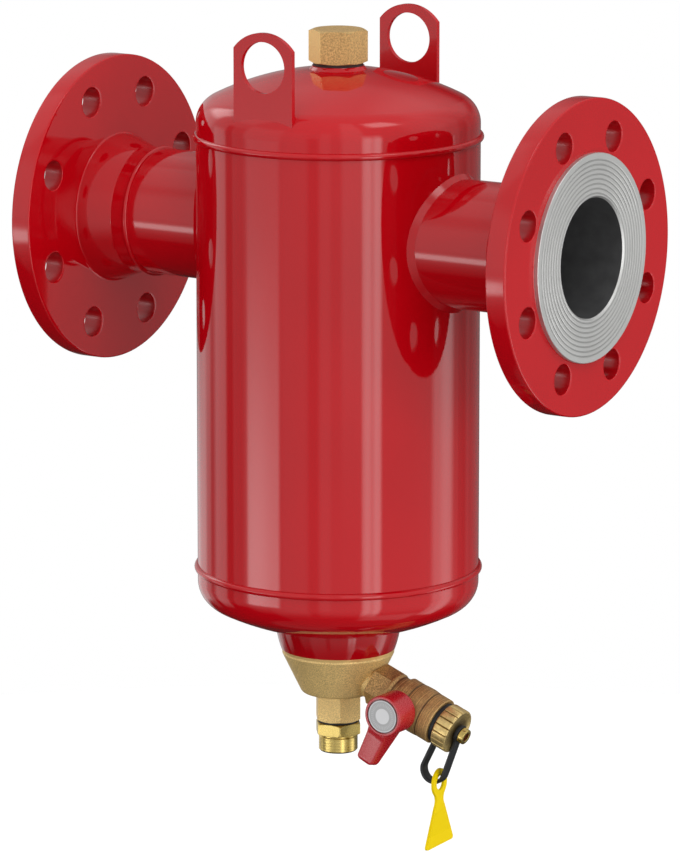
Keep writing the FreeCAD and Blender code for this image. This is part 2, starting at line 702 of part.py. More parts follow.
def stem_hole(diameter, low, high):
    """Round space about the stem, between two distances from the valve axis."""
    space = along_y(rod(diameter, low, high))
    space.translate(Vector(0, 0, BALL_AT))
    return space


def valve_body():
    """Cast valve body with its stem boss, and the threaded neck for the hose cap."""
    body_r = BODY_OD / 2
    neck_r = END_NECK_OD / 2
    ring_start = BODY_START + BODY_NECK + BODY_RUN_IN
    ring_z = ring_start + BODY_RING
    collar_z = BODY_END - BODY_COLLAR
    groove_r = body_r - BODY_LINE
    hose_r = HOSE_THREAD / 2
    outside = turned((0, BODY_START), (neck_r, BODY_START), (neck_r, BODY_START + BODY_NECK),
                     (body_r, ring_start), (body_r, ring_z - BODY_LINE), (groove_r, ring_z),
                     (body_r, ring_z + BODY_LINE),
                     ((BODY_BULGE_OD / 2, (ring_z + collar_z) / 2), (body_r, collar_z - BODY_LINE)),
                     (groove_r, collar_z), (body_r, collar_z + BODY_LINE),
                     (body_r, BODY_END - BODY_EDGE), (body_r - BODY_EDGE, BODY_END),
                     (NECK_OD / 2, BODY_END), (NECK_OD / 2, RELIEF_END), (hose_r, RELIEF_END),
                     (hose_r, HOSE_END - HOSE_CHAMFER), (hose_r - HOSE_CHAMFER, HOSE_END), (0, HOSE_END))
    packing_low = STEM_BOSS_REACH - PACKING_LENGTH
    spaces = [rod(VALVE_BORE, BALL_AT, HOSE_END), rod(CAVITY_OD, SPIGOT_END, CAVITY_END),
              rod(END_SPIGOT_OD + 2 * THREAD_CLEARANCE, BODY_START, SPIGOT_END),
              stem_hole(STEM_DIAMETER + 2 * STEM_GAP, 0, STEM_BOSS_REACH),
              stem_hole(PACKING_OD, packing_low, STEM_BOSS_REACH)]
    return only_solid(outside.fuse(stem_hole(STEM_BOSS_OD, 0, STEM_BOSS_REACH)).cut(spaces))


def ball():
    """Bored ball, shut, with the slot for the stem's tang."""
    sphere = Part.makeSphere(BALL_DIAMETER / 2, Vector(0, 0, BALL_AT))
    bore = Part.makeCylinder(VALVE_BORE / 2, BALL_DIAMETER, Vector(-BALL_DIAMETER / 2, 0, BALL_AT),
                             Vector(1, 0, 0))
    reach = BALL_DIAMETER / 2
    half = TANG_WIDTH / 2 + STEM_GAP
    slot = block((-reach, reach - TANG_DEPTH - STEM_GAP, BALL_AT - half), (reach, reach, BALL_AT + half))
    return only_solid(sphere.cut([bore, slot]))


def ball_seat(side):
    """Seat ring on one side of the ball, hollowed to the ball with a small gap."""
    low, high = sorted((BALL_AT + side * SEAT_INNER, BALL_AT + side * SEAT_OUTER))
    ring = tube(SEAT_OD, VALVE_BORE, low, high)
    return only_solid(ring.cut(Part.makeSphere(BALL_DIAMETER / 2 + BALL_GAP, Vector(0, 0, BALL_AT))))


# Stem and lever: distances from the valve axis towards the front

LEVER_BACK = STEM_BOSS_REACH + LEVER_GAP
LEVER_FRONT = LEVER_BACK + LEVER_HUB_DEPTH
STEM_TOP = LEVER_BACK + STEM_SOCKET
SCREW_SEAT = STEM_TOP + LEVER_SCREW_GRIP


def stem():
    """Stem with the tang that turns the ball and the thread for the lever screw."""
    foot = BALL_DIAMETER / 2
    tang = block((-STEM_DIAMETER / 2, foot - TANG_DEPTH, BALL_AT - TANG_WIDTH / 2),
                 (STEM_DIAMETER / 2, foot + TANG_WIDTH, BALL_AT + TANG_WIDTH / 2))
    tang = tang.common(stem_hole(STEM_DIAMETER, 0, STEM_TOP))
    shaft = stem_hole(STEM_DIAMETER, foot + STEM_GAP, STEM_TOP)
    thread = stem_hole(LEVER_SCREW + 2 * STEM_GAP, SCREW_SEAT - LEVER_SCREW_LENGTH - STEM_GAP, STEM_TOP)
    return only_solid(shaft.fuse(tang).cut(thread))


def stem_packing():
    """Packing ring round the stem."""
    low = STEM_BOSS_REACH - PACKING_LENGTH
    return stem_hole(PACKING_OD, low, STEM_BOSS_REACH).cut(
        stem_hole(STEM_DIAMETER + 2 * STEM_GAP, low, STEM_BOSS_REACH))


def gland_nut():
    """Thin hexagonal nut that holds the packing down."""
    top = STEM_BOSS_REACH + GLAND_HEIGHT
    nut = along_y(hexagon(GLAND_FLATS, STEM_BOSS_REACH, top, 0))
    nut.translate(Vector(0, 0, BALL_AT))
    return nut.cut(stem_hole(STEM_DIAMETER + 2 * STEM_GAP, STEM_BOSS_REACH, top))


def handle_section(drop, front_y, back_y, front_width, back_width):
    """Four-sided section of the handle at a distance below the stem axis."""
    corners = [(back_width, back_y), (front_width, front_y), (-front_width, front_y), (-back_width, back_y)]
    spots = [Vector(-drop, y, BALL_AT + width / 2) for width, y in corners]
    return Part.makePolygon(spots + spots[:1])


def lever():
    """Plastic lever: round hub with the disc's recess, and a tapered handle with soft edges."""
    radius = LEVER_HUB_OD / 2
    rounding = LEVER_RIM_ROUND
    bend = rounding * (1 - math.sqrt(0.5))
    hub = along_y(turned((0, LEVER_BACK), (radius, LEVER_BACK), (radius, LEVER_FRONT - rounding),
                         ((radius - bend, LEVER_FRONT - bend), (radius - rounding, LEVER_FRONT)),
                         (0, LEVER_FRONT)))
    hub.translate(Vector(0, 0, BALL_AT))
    root = handle_section(radius / 2, LEVER_FRONT - LEVER_FACE_STEP, LEVER_BACK,
                          LEVER_ROOT_FRONT, LEVER_ROOT_BACK)
    tip_front = LEVER_FRONT - LEVER_TIP_STEP
    tip = handle_section(LEVER_REACH, tip_front, tip_front - LEVER_TIP_DEPTH,
                         LEVER_TIP_FRONT, LEVER_TIP_BACK)
    handle = Part.makeLoft([root, tip], True, True)
    outer_edges = [e for e in handle.Edges if min(v.Point.x for v in e.Vertexes) < -radius]
    handle = handle.makeChamfer(LEVER_EDGE, outer_edges)
    handle = handle.rotated(Vector(0, 0, BALL_AT), Vector(0, 1, 0), -LEVER_SET)
    screw_space = stem_hole(LEVER_SCREW_HEAD + 2 * SCREW_HEAD_ROOM, SCREW_SEAT, LEVER_FRONT)
    disc_space = stem_hole(DISC_OD + 2 * DISC_GROOVE, LEVER_FRONT - DISC_RECESS, LEVER_FRONT)
    screw_hole = stem_hole(LEVER_SCREW + 2 * LEVER_SCREW_FIT, STEM_TOP, SCREW_SEAT)
    socket = stem_hole(STEM_DIAMETER + 2 * STEM_GAP, LEVER_BACK, STEM_TOP)
    recess = stem_hole(GLAND_RECESS_OD, LEVER_BACK, STEM_BOSS_REACH + GLAND_HEIGHT + LEVER_GAP)
    return only_solid(hub.fuse(handle).cut([screw_space, disc_space, screw_hole, socket, recess]))


def lever_disc():
    """Plain disc that covers the lever's screw."""
    floor = LEVER_FRONT - DISC_RECESS
    return stem_hole(DISC_OD, floor, floor + DISC_THICKNESS)


def lever_screw():
    """Screw that holds the lever on the stem."""
    head_piece = stem_hole(LEVER_SCREW_HEAD, SCREW_SEAT, SCREW_SEAT + LEVER_SCREW_HEAD_HEIGHT)
    shank = stem_hole(LEVER_SCREW, SCREW_SEAT - LEVER_SCREW_LENGTH, SCREW_SEAT)
    return only_solid(head_piece.fuse(shank))


# Hose cap, its screw, the strap that keeps it and the tag on the strap

CAP_START = RELIEF_END
CAP_FACE = CAP_START + CAP_LENGTH
CAP_FLOOR = CAP_FACE - CAP_WALL
RING_LOW = CAP_FACE + STRAP_GAP
SCREW_HEAD_AT = RING_LOW + STRAP_THICKNESS + STRAP_GAP
NECK_RING_LOW = BODY_END + NECK_RING_GAP
BEND_R = (RING_LOW + STRAP_THICKNESS - NECK_RING_LOW + STRAP_FLARE) / 2
BEND_AT = RING_LOW + STRAP_THICKNESS - BEND_R


def drain_cap():
    """Fluted cap, bored for the hose thread and for its screw."""
    radius = CAP_OD / 2
    blank = turned((0, CAP_START), (radius - CAP_EDGE, CAP_START), (radius, CAP_START + CAP_EDGE),
                   (radius, CAP_FACE - CAP_EDGE), (radius - CAP_EDGE, CAP_FACE), (0, CAP_FACE))
    step = 2 * math.pi / CAP_FLUTES
    valley = (1 + FLUTE_LAND_SHARE) / 2
    spots = []
    for k in range(CAP_FLUTES):
        for share, depth in ((0, 0), (FLUTE_LAND_SHARE, 0), (valley, FLUTE_DEPTH)):
            angle = (k + share) * step
            reach = radius - depth
            spots.append(Vector(reach * math.cos(angle), reach * math.sin(angle), CAP_START))
    fluted = Part.Face(Part.makePolygon(spots + spots[:1])).extrude(Vector(0, 0, CAP_LENGTH))
    bore = rod(HOSE_THREAD + 2 * CAP_THREAD_GAP, CAP_START, CAP_FLOOR)
    screw_hole = rod(CAP_SCREW, CAP_FLOOR, CAP_FACE)
    return only_solid(blank.common(fluted).cut([bore, screw_hole]))


def cap_gasket():
    """Flat gasket in the cap."""
    return tube(HOSE_THREAD, VALVE_BORE, CAP_FLOOR - CAP_GASKET, CAP_FLOOR)


def cap_screw():
    """Socket-head screw in the cap, which holds the strap's small ring."""
    head_end = SCREW_HEAD_AT + CAP_SCREW_HEAD_HEIGHT
    shank = rod(CAP_SCREW, CAP_FLOOR, SCREW_HEAD_AT)
    head_piece = rod(CAP_SCREW_HEAD, SCREW_HEAD_AT, head_end)
    key = hexagon(CAP_SCREW_KEY, head_end - CAP_SCREW_KEY_DEPTH, head_end, 0)
    return only_solid(shank.fuse(head_piece).cut(key))


def cap_strap():
    """Rubber strap: a ring round the valve's neck, a hanging loop and a ring under the screw."""
    neck_bore = NECK_OD + 2 * STEM_GAP
    neck_ring = tube(STRAP_NECK_RING_OD, neck_bore, NECK_RING_LOW, NECK_RING_LOW + STRAP_THICKNESS)
    small_bore = CAP_SCREW + 2 * STRAP_GAP
    screw_ring = tube(STRAP_SCREW_RING_OD, small_bore, RING_LOW, RING_LOW + STRAP_THICKNESS)
    neck_foot = -(STRAP_NECK_RING_OD + NECK_OD) / 4
    screw_foot = -(STRAP_SCREW_RING_OD + small_bore) / 4
    flared = NECK_RING_LOW - STRAP_FLARE
    inner_r = BEND_R - STRAP_THICKNESS
    loop = outline((neck_foot, NECK_RING_LOW), (-STRAP_DROP, flared),
                   ((-STRAP_DROP - BEND_R, BEND_AT), (-STRAP_DROP, RING_LOW + STRAP_THICKNESS)),
                   (screw_foot, RING_LOW + STRAP_THICKNESS), (screw_foot, RING_LOW),
                   (-STRAP_DROP, RING_LOW),
                   ((-STRAP_DROP - inner_r, BEND_AT), (-STRAP_DROP, flared + STRAP_THICKNESS)),
                   (neck_foot, NECK_RING_LOW + STRAP_THICKNESS))
    loop.translate(Vector(0, -STRAP_WIDTH / 2, 0))
    return only_solid(neck_ring.fuse([loop.extrude(Vector(0, STRAP_WIDTH, 0)), screw_ring]))


# The tag hangs on the strap's bend, turned a little from square to the flow.

BEND_CENTRE = VALVE_FRAME.multVec(Vector(-STRAP_DROP, 0, BEND_AT))
TAG_X = BEND_CENTRE.x + TAG_OFFSET
STRAP_TOP_Z = BEND_CENTRE.z - math.sqrt(
    (BEND_R - STRAP_THICKNESS) ** 2 - (TAG_OFFSET + TAG_THICKNESS / 2) ** 2)
TAG_PIVOT_Z = STRAP_TOP_Z - math.sqrt((TAG_EYE / 2 - TAG_GAP) ** 2 - (STRAP_WIDTH / 2) ** 2)


def tag():
    """Flat tag: an eye over the strap, a waist and a flared foot with rounded corners."""
    eye_r = TAG_EYE_OD / 2
    low_eye = (eye_r * math.sqrt(0.5), TAG_PIVOT_Z - eye_r * math.sqrt(0.5))
    neck = (TAG_NECK / 2, TAG_PIVOT_Z - TAG_NECK_DROP)
    waist = (TAG_WAIST / 2, TAG_PIVOT_Z - TAG_WAIST_DROP)
    foot = (TAG_WIDTH / 2, TAG_PIVOT_Z - TAG_DROP)
    face = outline((-foot[0], foot[1]), foot, waist, (neck, low_eye),
                   ((0, TAG_PIVOT_Z + eye_r), (-low_eye[0], low_eye[1])),
                   ((-neck[0], neck[1]), (-waist[0], waist[1])))
    plate = face.extrude(Vector(0, TAG_THICKNESS, 0))
    corners = [e for e in plate.Edges if e.BoundBox.XLength < NEAR and e.BoundBox.ZMax < foot[1] + NEAR]
    plate = plate.makeFillet(TAG_CORNER, corners)
    hole = Part.makeCylinder(TAG_EYE / 2, TAG_THICKNESS, Vector(0, 0, TAG_PIVOT_Z), Vector(0, 1, 0))
    plate = plate.cut(hole)
    plate.translate(Vector(0, -TAG_THICKNESS / 2, 0))
    plate = plate.rotated(ORIGIN, UP, 90 + TAG_TURN)
    plate.translate(Vector(TAG_X, 0, 0))
    return plate


def write(name, shape, frame=Placement()):
    """Moves a piece from its drawing frame to the part's frame and writes its STEP file."""
    placed = shape.copy()
    placed.Placement = frame.multiply(placed.Placement)
    placed.translate(Vector(AXIS_X, 0, 0))
    if not placed.isValid() or placed.Volume <= 0:
        raise ValueError(f"{name} is not a sound solid")
    placed.exportStep(os.path.join("parts", name + ".step"))
    print(f"{name}: {len(placed.Solids)} solid, {placed.Volume:.0f} mm3")


def build():
    """Makes every piece of the separator and writes it under its own name."""
    os.makedirs("parts", exist_ok=True)
    boss_hole = rod(BOSS_OD, 0, APEX_Z + BOSS_RISE)
    bowl_hole = rod(2 * SOCKET_R, BOTTOM_APEX_Z, 0)
    write("shell", shell())
    write("top_head", head(TOP_SEAM_Z, 1).cut(boss_hole))
    write("bottom_head", head(BOTTOM_SEAM_Z, -1).cut(bowl_hole))
    write("top_seam_weld", seam_weld(TOP_SEAM_Z))
    write("bottom_seam_weld", seam_weld(BOTTOM_SEAM_Z))
    for name, frame in (("inlet", INLET), ("outlet", OUTLET)):
        write(f"{name}_flange", flange(), frame)
        write(f"{name}_pipe", nozzle_pipe(), frame)
        write(f"{name}_butt_weld", butt_weld(), frame)
        write(f"{name}_nozzle_weld", nozzle_weld(), frame)
    for name, turn in (("rear", 0), ("front", 180)):
        write(f"{name}_lifting_lug", lug().rotated(ORIGIN, UP, turn))
        write(f"{name}_lug_weld", lug_weld().rotated(ORIGIN, UP, turn))
    write("vent_boss", vent_boss())
    write("vent_boss_weld", vent_boss_weld())
    write("vent_gasket", tube(VENT_GASKET_OD, VENT_THREAD + 2 * VENT_CLEARANCE, BOSS_TOP_Z, PLUG_Z))
    write("vent_plug", vent_plug())
    write("drain_collar", drain_collar())
    write("drain_bowl", drain_bowl())
    write("bowl_seal", bowl_seal())
    write("magnet_sleeve", magnet_sleeve())
    write("sleeve_gasket", sleeve_gasket())
    write("magnet_rod", magnet_rod())
    write("magnets", rod_rings(MAGNET_LENGTH, 0))
    write("magnet_spacers", rod_rings(MAGNET_SPACER, MAGNET_LENGTH))
    write("mesh_element", mesh_element())
    write("element_support", element_support())
    write("valve_end_piece", valve_end_piece(), VALVE_FRAME)
    write("valve_body", valve_body(), VALVE_FRAME)
    write("ball", ball(), VALVE_FRAME)
    write("inlet_ball_seat", ball_seat(-1), VALVE_FRAME)
    write("outlet_ball_seat", ball_seat(1), VALVE_FRAME)
    write("stem", stem(), VALVE_FRAME)
    write("stem_packing", stem_packing(), VALVE_FRAME)
    write("gland_nut", gland_nut(), VALVE_FRAME)
    write("lever", lever(), VALVE_FRAME)
    write("lever_disc", lever_disc(), VALVE_FRAME)
    write("lever_screw", lever_screw(), VALVE_FRAME)
    write("drain_cap", drain_cap(), VALVE_FRAME)
    write("cap_gasket", cap_gasket(), VALVE_FRAME)
    write("cap_screw", cap_screw(), VALVE_FRAME)
    write("cap_strap", cap_strap(), VALVE_FRAME)
    write("tag", tag())


build()
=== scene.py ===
"""Dresses the packed dirt separator: gloss paint, cast and turned brass, rubber and plastic on
its CAD pieces, finer flanges, magnet sleeve, lever, hose cap, cap screw and strap in their places,
and a studio."""

import json
import math

import bmesh
import bpy
import numpy as np
from bpy.props import FloatProperty, FloatVectorProperty, IntProperty, PointerProperty
from bpy.types import Operator, Panel, PropertyGroup
from mathutils import Matrix, Vector

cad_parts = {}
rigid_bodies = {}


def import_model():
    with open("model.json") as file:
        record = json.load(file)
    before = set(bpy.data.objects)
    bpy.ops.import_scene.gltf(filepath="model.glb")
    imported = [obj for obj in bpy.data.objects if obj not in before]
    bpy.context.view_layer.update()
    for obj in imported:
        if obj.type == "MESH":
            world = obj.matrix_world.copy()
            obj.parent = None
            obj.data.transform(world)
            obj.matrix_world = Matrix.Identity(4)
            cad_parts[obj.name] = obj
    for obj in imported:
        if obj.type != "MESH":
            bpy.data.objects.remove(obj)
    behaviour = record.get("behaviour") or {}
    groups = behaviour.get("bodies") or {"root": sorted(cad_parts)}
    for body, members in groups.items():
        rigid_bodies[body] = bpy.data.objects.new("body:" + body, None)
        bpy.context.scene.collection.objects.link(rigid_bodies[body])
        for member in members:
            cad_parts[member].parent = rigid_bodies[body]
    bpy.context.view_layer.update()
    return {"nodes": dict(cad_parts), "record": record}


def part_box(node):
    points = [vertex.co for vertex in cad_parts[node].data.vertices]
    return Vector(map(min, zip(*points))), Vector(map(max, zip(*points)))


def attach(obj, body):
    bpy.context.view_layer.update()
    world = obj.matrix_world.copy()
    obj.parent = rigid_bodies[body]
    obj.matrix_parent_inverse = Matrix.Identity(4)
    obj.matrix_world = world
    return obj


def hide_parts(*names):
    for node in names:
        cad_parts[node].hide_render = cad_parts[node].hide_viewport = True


bl_info = {
    "name": "Dirt separator",
    "version": (1, 0, 0),
    "blender": (4, 5, 0),
    "location": "View3D > Sidebar > Separator",
    "description": "Finishes and fine pieces of a flanged dirt separator with its drain valve",
    "category": "Object",
}

for leftover in list(bpy.data.objects):
    bpy.data.objects.remove(leftover)
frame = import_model()
NODES = frame["nodes"]
SLOT_OF = {row["node"]: row["material_slot"] for row in frame["record"]["subparts"]}

AXIS_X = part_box("shell")[0].x / 2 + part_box("shell")[1].x / 2
VESSEL_MIDDLE = (AXIS_X, 0.0, -0.07)

# Distance in metres below which a grid's points are merged.
MERGE = 1.5e-6

# The valve's axis: its fall towards the outlet, and where it starts below the collar's low edge.
VALVE_TILT = math.radians(21.0)
VALVE_DROP = 0.0068

# Where the finishes change: the collar's lowest edge shows brass, the nozzles' bores are bare up to
# this radius, and one flat of the plug is painted lighter as a painted highlight, given by its
# direction and its distance.
COLLAR_RIM = 0.0017
BARE_BORE = 0.0366
PLUG_LIT_FLAT = (math.radians(235.6), 0.01525)

# Stations of the valve's bronze: start of the turned body, then start, end and softness of the
# rings of painted shade in the neck and the two ring grooves.
BODY_START = (0.0445, 0.0455)
SHADED_RINGS = (
    (0.0450, 0.0462, 0.0008),
    (0.0571, 0.0581, 0.0007),
    (0.0690, 0.0700, 0.0007),
)

# Lever disc, in shares of its radius: pale middle, ring of ticks, pale ring and dark edge.
DISC_MIDDLE = (0.45, 0.48)
DISC_TICKS = (0.60, 0.78)
DISC_RING = (0.885, 0.945)
DISC_EDGE = (0.945, 0.965)
TICKS = 40

# Tag: its turn about Z, the lean of its flared sides, and the sunk field's foot and the height at
# which its sides would meet, above the tag's low edge.
TAG_TURN = math.radians(4.0)
TAG_LEAN = math.radians(24.5)
TAG_FOOT = 0.0070
TAG_APEX = 0.0235

# Room, in degrees: elevations between which the low light rises, azimuths between which it turns to
# the light behind, and elevations between which that one rises.
LOW_RISE = (-52.0, -15.0)
BEHIND = (124.0, 160.0)
CROWN_RISE = (6.0, 72.0)

# Lamps: the point that they face, then each one's name, place, size and energy.
LAMP_AIM = (AXIS_X, 0.0, -0.06)
LAMPS = (
    ("overhead_lamp", (AXIS_X + 0.7, -0.2, 1.6), 1.4, 6.3),
    ("side_lamp", (AXIS_X + 2.2, -0.22, 0.2), 0.65, 5.0),
)

# Soft boxes of the room: azimuths (0 in front, 90 at the outlet), their softness, elevations,
# their softness, in degrees, and the light added.
ROOM_BOXES = (
    (-46.0, -16.0, 4.0, -19.0, -11.5, 4.5, 2.1),
    (-46.0, -27.0, 16.0, -19.0, -11.5, 4.5, 0.9),
    (-46.0, -16.0, 4.0, -19.0, -8.5, 4.0, 0.5),
    (-48.0, -14.0, 6.0, -8.0, 32.0, 14.0, 0.30),
    (-140.0, -24.0, 8.0, -60.0, -24.0, 8.0, -0.25),
    (52.5, 68.5, 3.0, -35.0, 14.0, 24.0, 2.0),
    (55.0, 59.0, 3.0, -35.0, 14.0, 24.0, 0.7),
    (62.5, 67.0, 3.0, -35.0, 14.0, 24.0, 0.9),
    (116.0, 140.0, 7.0, -45.0, -7.5, 5.0, 1.12),
    (126.0, 136.0, 8.0, -45.0, -5.0, 5.0, 0.48),
    (138.0, 166.0, 10.0, -30.0, 14.0, 10.0, 0.12),
    (162.0, 195.0, 8.0, -30.0, 12.0, 10.0, 0.13),
    (-200.0, -157.0, 8.0, -30.0, 12.0, 10.0, 0.13),
    (146.0, 200.0, 14.0, 14.0, 60.0, 14.0, 0.24),
    (-200.0, -160.0, 14.0, 16.0, 60.0, 14.0, 0.24),
    (96.0, 150.0, 16.0, 16.0, 58.0, 14.0, 0.20),
    (-175.0, -112.0, 14.0, 8.0, 34.0, 10.0, -0.10),
    (-118.0, -90.0, 8.0, -10.0, 38.0, 8.0, 0.28),
    (-112.0, -44.0, 6.0, -40.0, -10.5, 4.0, -0.14),
    (-155.0, -112.0, 8.0, -40.0, -8.0, 6.0, -0.30),
    (56.0, 112.0, 12.0, -57.0, -38.0, 8.0, 0.65),
    (-86.0, -71.0, 4.0, -30.0, 6.0, 12.0, 0.45),
    (36.0, 54.0, 5.0, -11.5, 72.0, 4.0, 0.45),
    (18.5, 27.0, 4.0, -20.0, 30.0, 10.0, 0.20),
    (-12.0, 7.0, 4.0, -30.0, 30.0, 10.0, 0.08),
    (-100.0, -50.0, 12.0, 34.0, 62.0, 12.0, 0.28),
    (-70.0, -62.0, 4.0, -40.0, 20.0, 10.0, -0.42),
    (-62.0, -49.0, 6.0, -40.0, 20.0, 10.0, -0.17),
    (9.0, 17.0, 4.0, -40.0, 10.0, 10.0, -0.22),
    (-95.0, -89.0, 4.0, -40.0, 0.0, 10.0, -0.35),
    (-136.0, -104.0, 6.0, -24.0, -11.5, 4.0, 0.50),
    (68.0, 102.0, 16.0, 50.0, 67.0, 9.0, 2.9),
    (-116.0, -92.0, 10.0, 20.0, 38.0, 10.0, 1.7),
)


# Properties


def length(name, default, description):
    """A length in metres for a property group."""
    return FloatProperty(name=name, description=description, default=default, unit="LENGTH",
                         min=0.0, precision=4)


def colour(name, default, description):
    """A colour for a property group, in linear values."""
    return FloatVectorProperty(name=name, description=description, default=default, size=3,
                               subtype="COLOR", min=0.0, max=1.0)


def share(name, default, description):
    """A value between nought and one for a property group."""
    return FloatProperty(name=name, description=description, default=default, subtype="FACTOR",
                         min=0.0, max=1.0)


class SteelLook(PropertyGroup):
    """Paint and bare steel."""
    red: colour("Paint", (0.490, 0.0012, 0.0060), "Colour of the gloss paint")
    red_deep: colour("Paint, deep", (0.450, 0.0008, 0.0048), "Paint where it lies thicker")
    gloss: share("Paint roughness", 0.055, "Roughness of the paint's surface")
    peel: length("Orange peel", 0.0000042, "Height of the paint's fine waves")
    bare: colour("Bare steel", (0.084, 0.084, 0.085), "Unpainted inner wall")
    machined: colour("Machined face", (0.66, 0.66, 0.645), "Turned gasket face")
    zinc: colour("Zinc", (0.56, 0.56, 0.55), "Zinc plating")


class BrassLook(PropertyGroup):
    """Brass and bronze."""
    cast: colour("Cast brass", (0.800, 0.545, 0.215), "Blasted casting of the bowl")
    plug: colour("Plug brass", (0.600, 0.385, 0.145), "Sand-cast plug")
    valve: colour("Valve bronze", (0.490, 0.302, 0.113), "Valve body and end piece")
    turned: colour("Turned brass", (0.620, 0.465, 0.150), "Sleeve and its thread")
    # Painted shade: the dark colour given to the screw's socket.
    socket: colour("Socket", (0.300, 0.110, 0.040), "Stained brass in the screw's socket")
    cap: colour("Cap brass", (0.760, 0.560, 0.225), "Fluted hose cap")


class PlasticLook(PropertyGroup):
    """Plastic and rubber."""
    lever: colour("Lever", (0.460, 0.006, 0.014), "Lever moulding")
    disc: colour("Disc", (0.36, 0.365, 0.37), "Lever disc")
    disc_light: colour("Disc centre", (0.70, 0.71, 0.72), "Pale middle of the disc")
    tag: colour("Tag", (0.870, 0.635, 0.001), "Tag moulding")
    rubber: colour("Rubber", (0.011, 0.012, 0.014), "Strap and seals")
    fibre: colour("Fibre gasket", (0.026, 0.014, 0.013), "Vent gasket")
    white: colour("Seat plastic", (0.78, 0.78, 0.75), "Ball seats and packing")
    element: colour("Element", (0.060, 0.062, 0.066), "Separating element")


class FlangeForm(PropertyGroup):
    """Weld-neck flange."""
    face: length("Face from axis", 0.175, "Vessel axis to gasket face")
    outside: length("Outside radius", 0.0925, "Radius of the rim")
    rim: length("Rim thickness", 0.013, "Thickness of the bolt ring")
    edge: length("Edge rounding", 0.001, "Rounding of the rim's edges and of the bore's mouth")
    raised: length("Raised face radius", 0.061, "Radius of the gasket face")
    rise: length("Raised face height", 0.003, "Height of the gasket face")
    bore: length("Bore radius", 0.03515, "Radius of the bore")
    bolt_circle: length("Bolt circle radius", 0.0725, "Radius of the bolt circle")
    bolt_hole: length("Bolt hole radius", 0.009, "Radius of a bolt hole")
    bolts: IntProperty(name="Bolt holes", description="Number of bolt holes", default=8, min=4)
    mouth: length("Hole mouth rounding", 0.0006, "Rounding at a hole's mouth")
    hub: length("Hub base radius", 0.0445, "Radius of the hub at the bolt ring")
    hub_fillet: length("Hub fillet", 0.0012, "Fillet between hub and bolt ring")
    hub_land: length("Hub land", 0.011, "Straight end of the hub")
    hub_length: length("Hub length", 0.031, "Length of the hub")
    pipe: length("Pipe radius", 0.03805, "Radius of the hub's end")
    grooves: IntProperty(name="Face grooves", description="Rings turned in the gasket face",
                         default=8)
    first_groove: length("First groove radius", 0.0376, "Radius of the innermost ring")
    groove_pitch: length("Groove pitch", 0.00276, "Distance between rings")
    groove_width: length("Groove width", 0.00115, "Width of a ring")
    groove_depth: length("Groove depth", 0.00022, "Depth of a ring")
    nick: length("Nick", 0.0003, "Edge break of the gasket face")
    soften: length("Hub edge", 0.0004, "Edge break of the hub's end")


class SleeveForm(PropertyGroup):
    """Magnet sleeve with its hexagon and its threaded stub."""
    top: FloatProperty(name="Top", description="Height of the domed end", default=-0.060,
                       unit="LENGTH")
    tube: length("Tube radius", 0.0085, "Outer radius of the tube")
    pocket: length("Pocket radius", 0.007, "Radius of the magnet pocket")
    shank: length("Shank radius", 0.0104, "Radius of the thread in the bowl")
    shank_length: length("Shank length", 0.0125, "Length of the shank above the hexagon")
    flats: length("Across flats", 0.0255, "Size of the hexagon")
    turn: FloatProperty(name="Turn", description="Angle of one corner", default=math.radians(7.8),
                        subtype="ANGLE")
    hexagon: length("Hexagon height", 0.0077, "Height of the hexagon")
    chamfer: length("Chamfer", 0.001, "Chamfer of hexagon and stub")
    stub: length("Stub radius", 0.01175, "Radius over the stub's thread")
    stub_length: length("Stub length", 0.0104, "Length of the stub")
    pitch: length("Thread pitch", 0.0018, "Pitch of the stub's thread")
    thread: length("Thread depth", 0.00005, "Depth of the stub's thread")
    relief: length("Relief", 0.0008, "Height of the plain neck under the hexagon")
    relief_depth: length("Relief depth", 0.0005, "Depth of that neck")
    mouth: length("Mouth", 0.0007, "Chamfer of the pocket's mouth")


class StrapForm(PropertyGroup):
    """Rubber strap in the valve's frame: up, across and along the valve."""
    width: length("Width", 0.0063, "Width of the strap")
    thickness: length("Thickness", 0.0024, "Thickness of the strap")
    drop: length("Drop", 0.0292, "Valve axis to the start of the bend")
    bend: length("Bend radius", 0.0075, "Radius of the bend's middle line")
    bend_at: length("Bend station", 0.0849, "Station of the bend's centre")
    neck_ring: length("Neck ring radius", 0.01205, "Middle radius of the ring on the neck")
    neck_half: length("Neck ring half width", 0.0007, "Half of that ring's width")
    neck_at: length("Neck ring station", 0.0792, "Station of the ring on the neck")
    screw_ring: length("Screw ring radius", 0.00395, "Middle radius of the ring under the screw")
    screw_half: length("Screw ring half width", 0.00155, "Half of that ring's width")
    screw_at: length("Screw ring station", 0.0924, "Station of the ring under the screw")


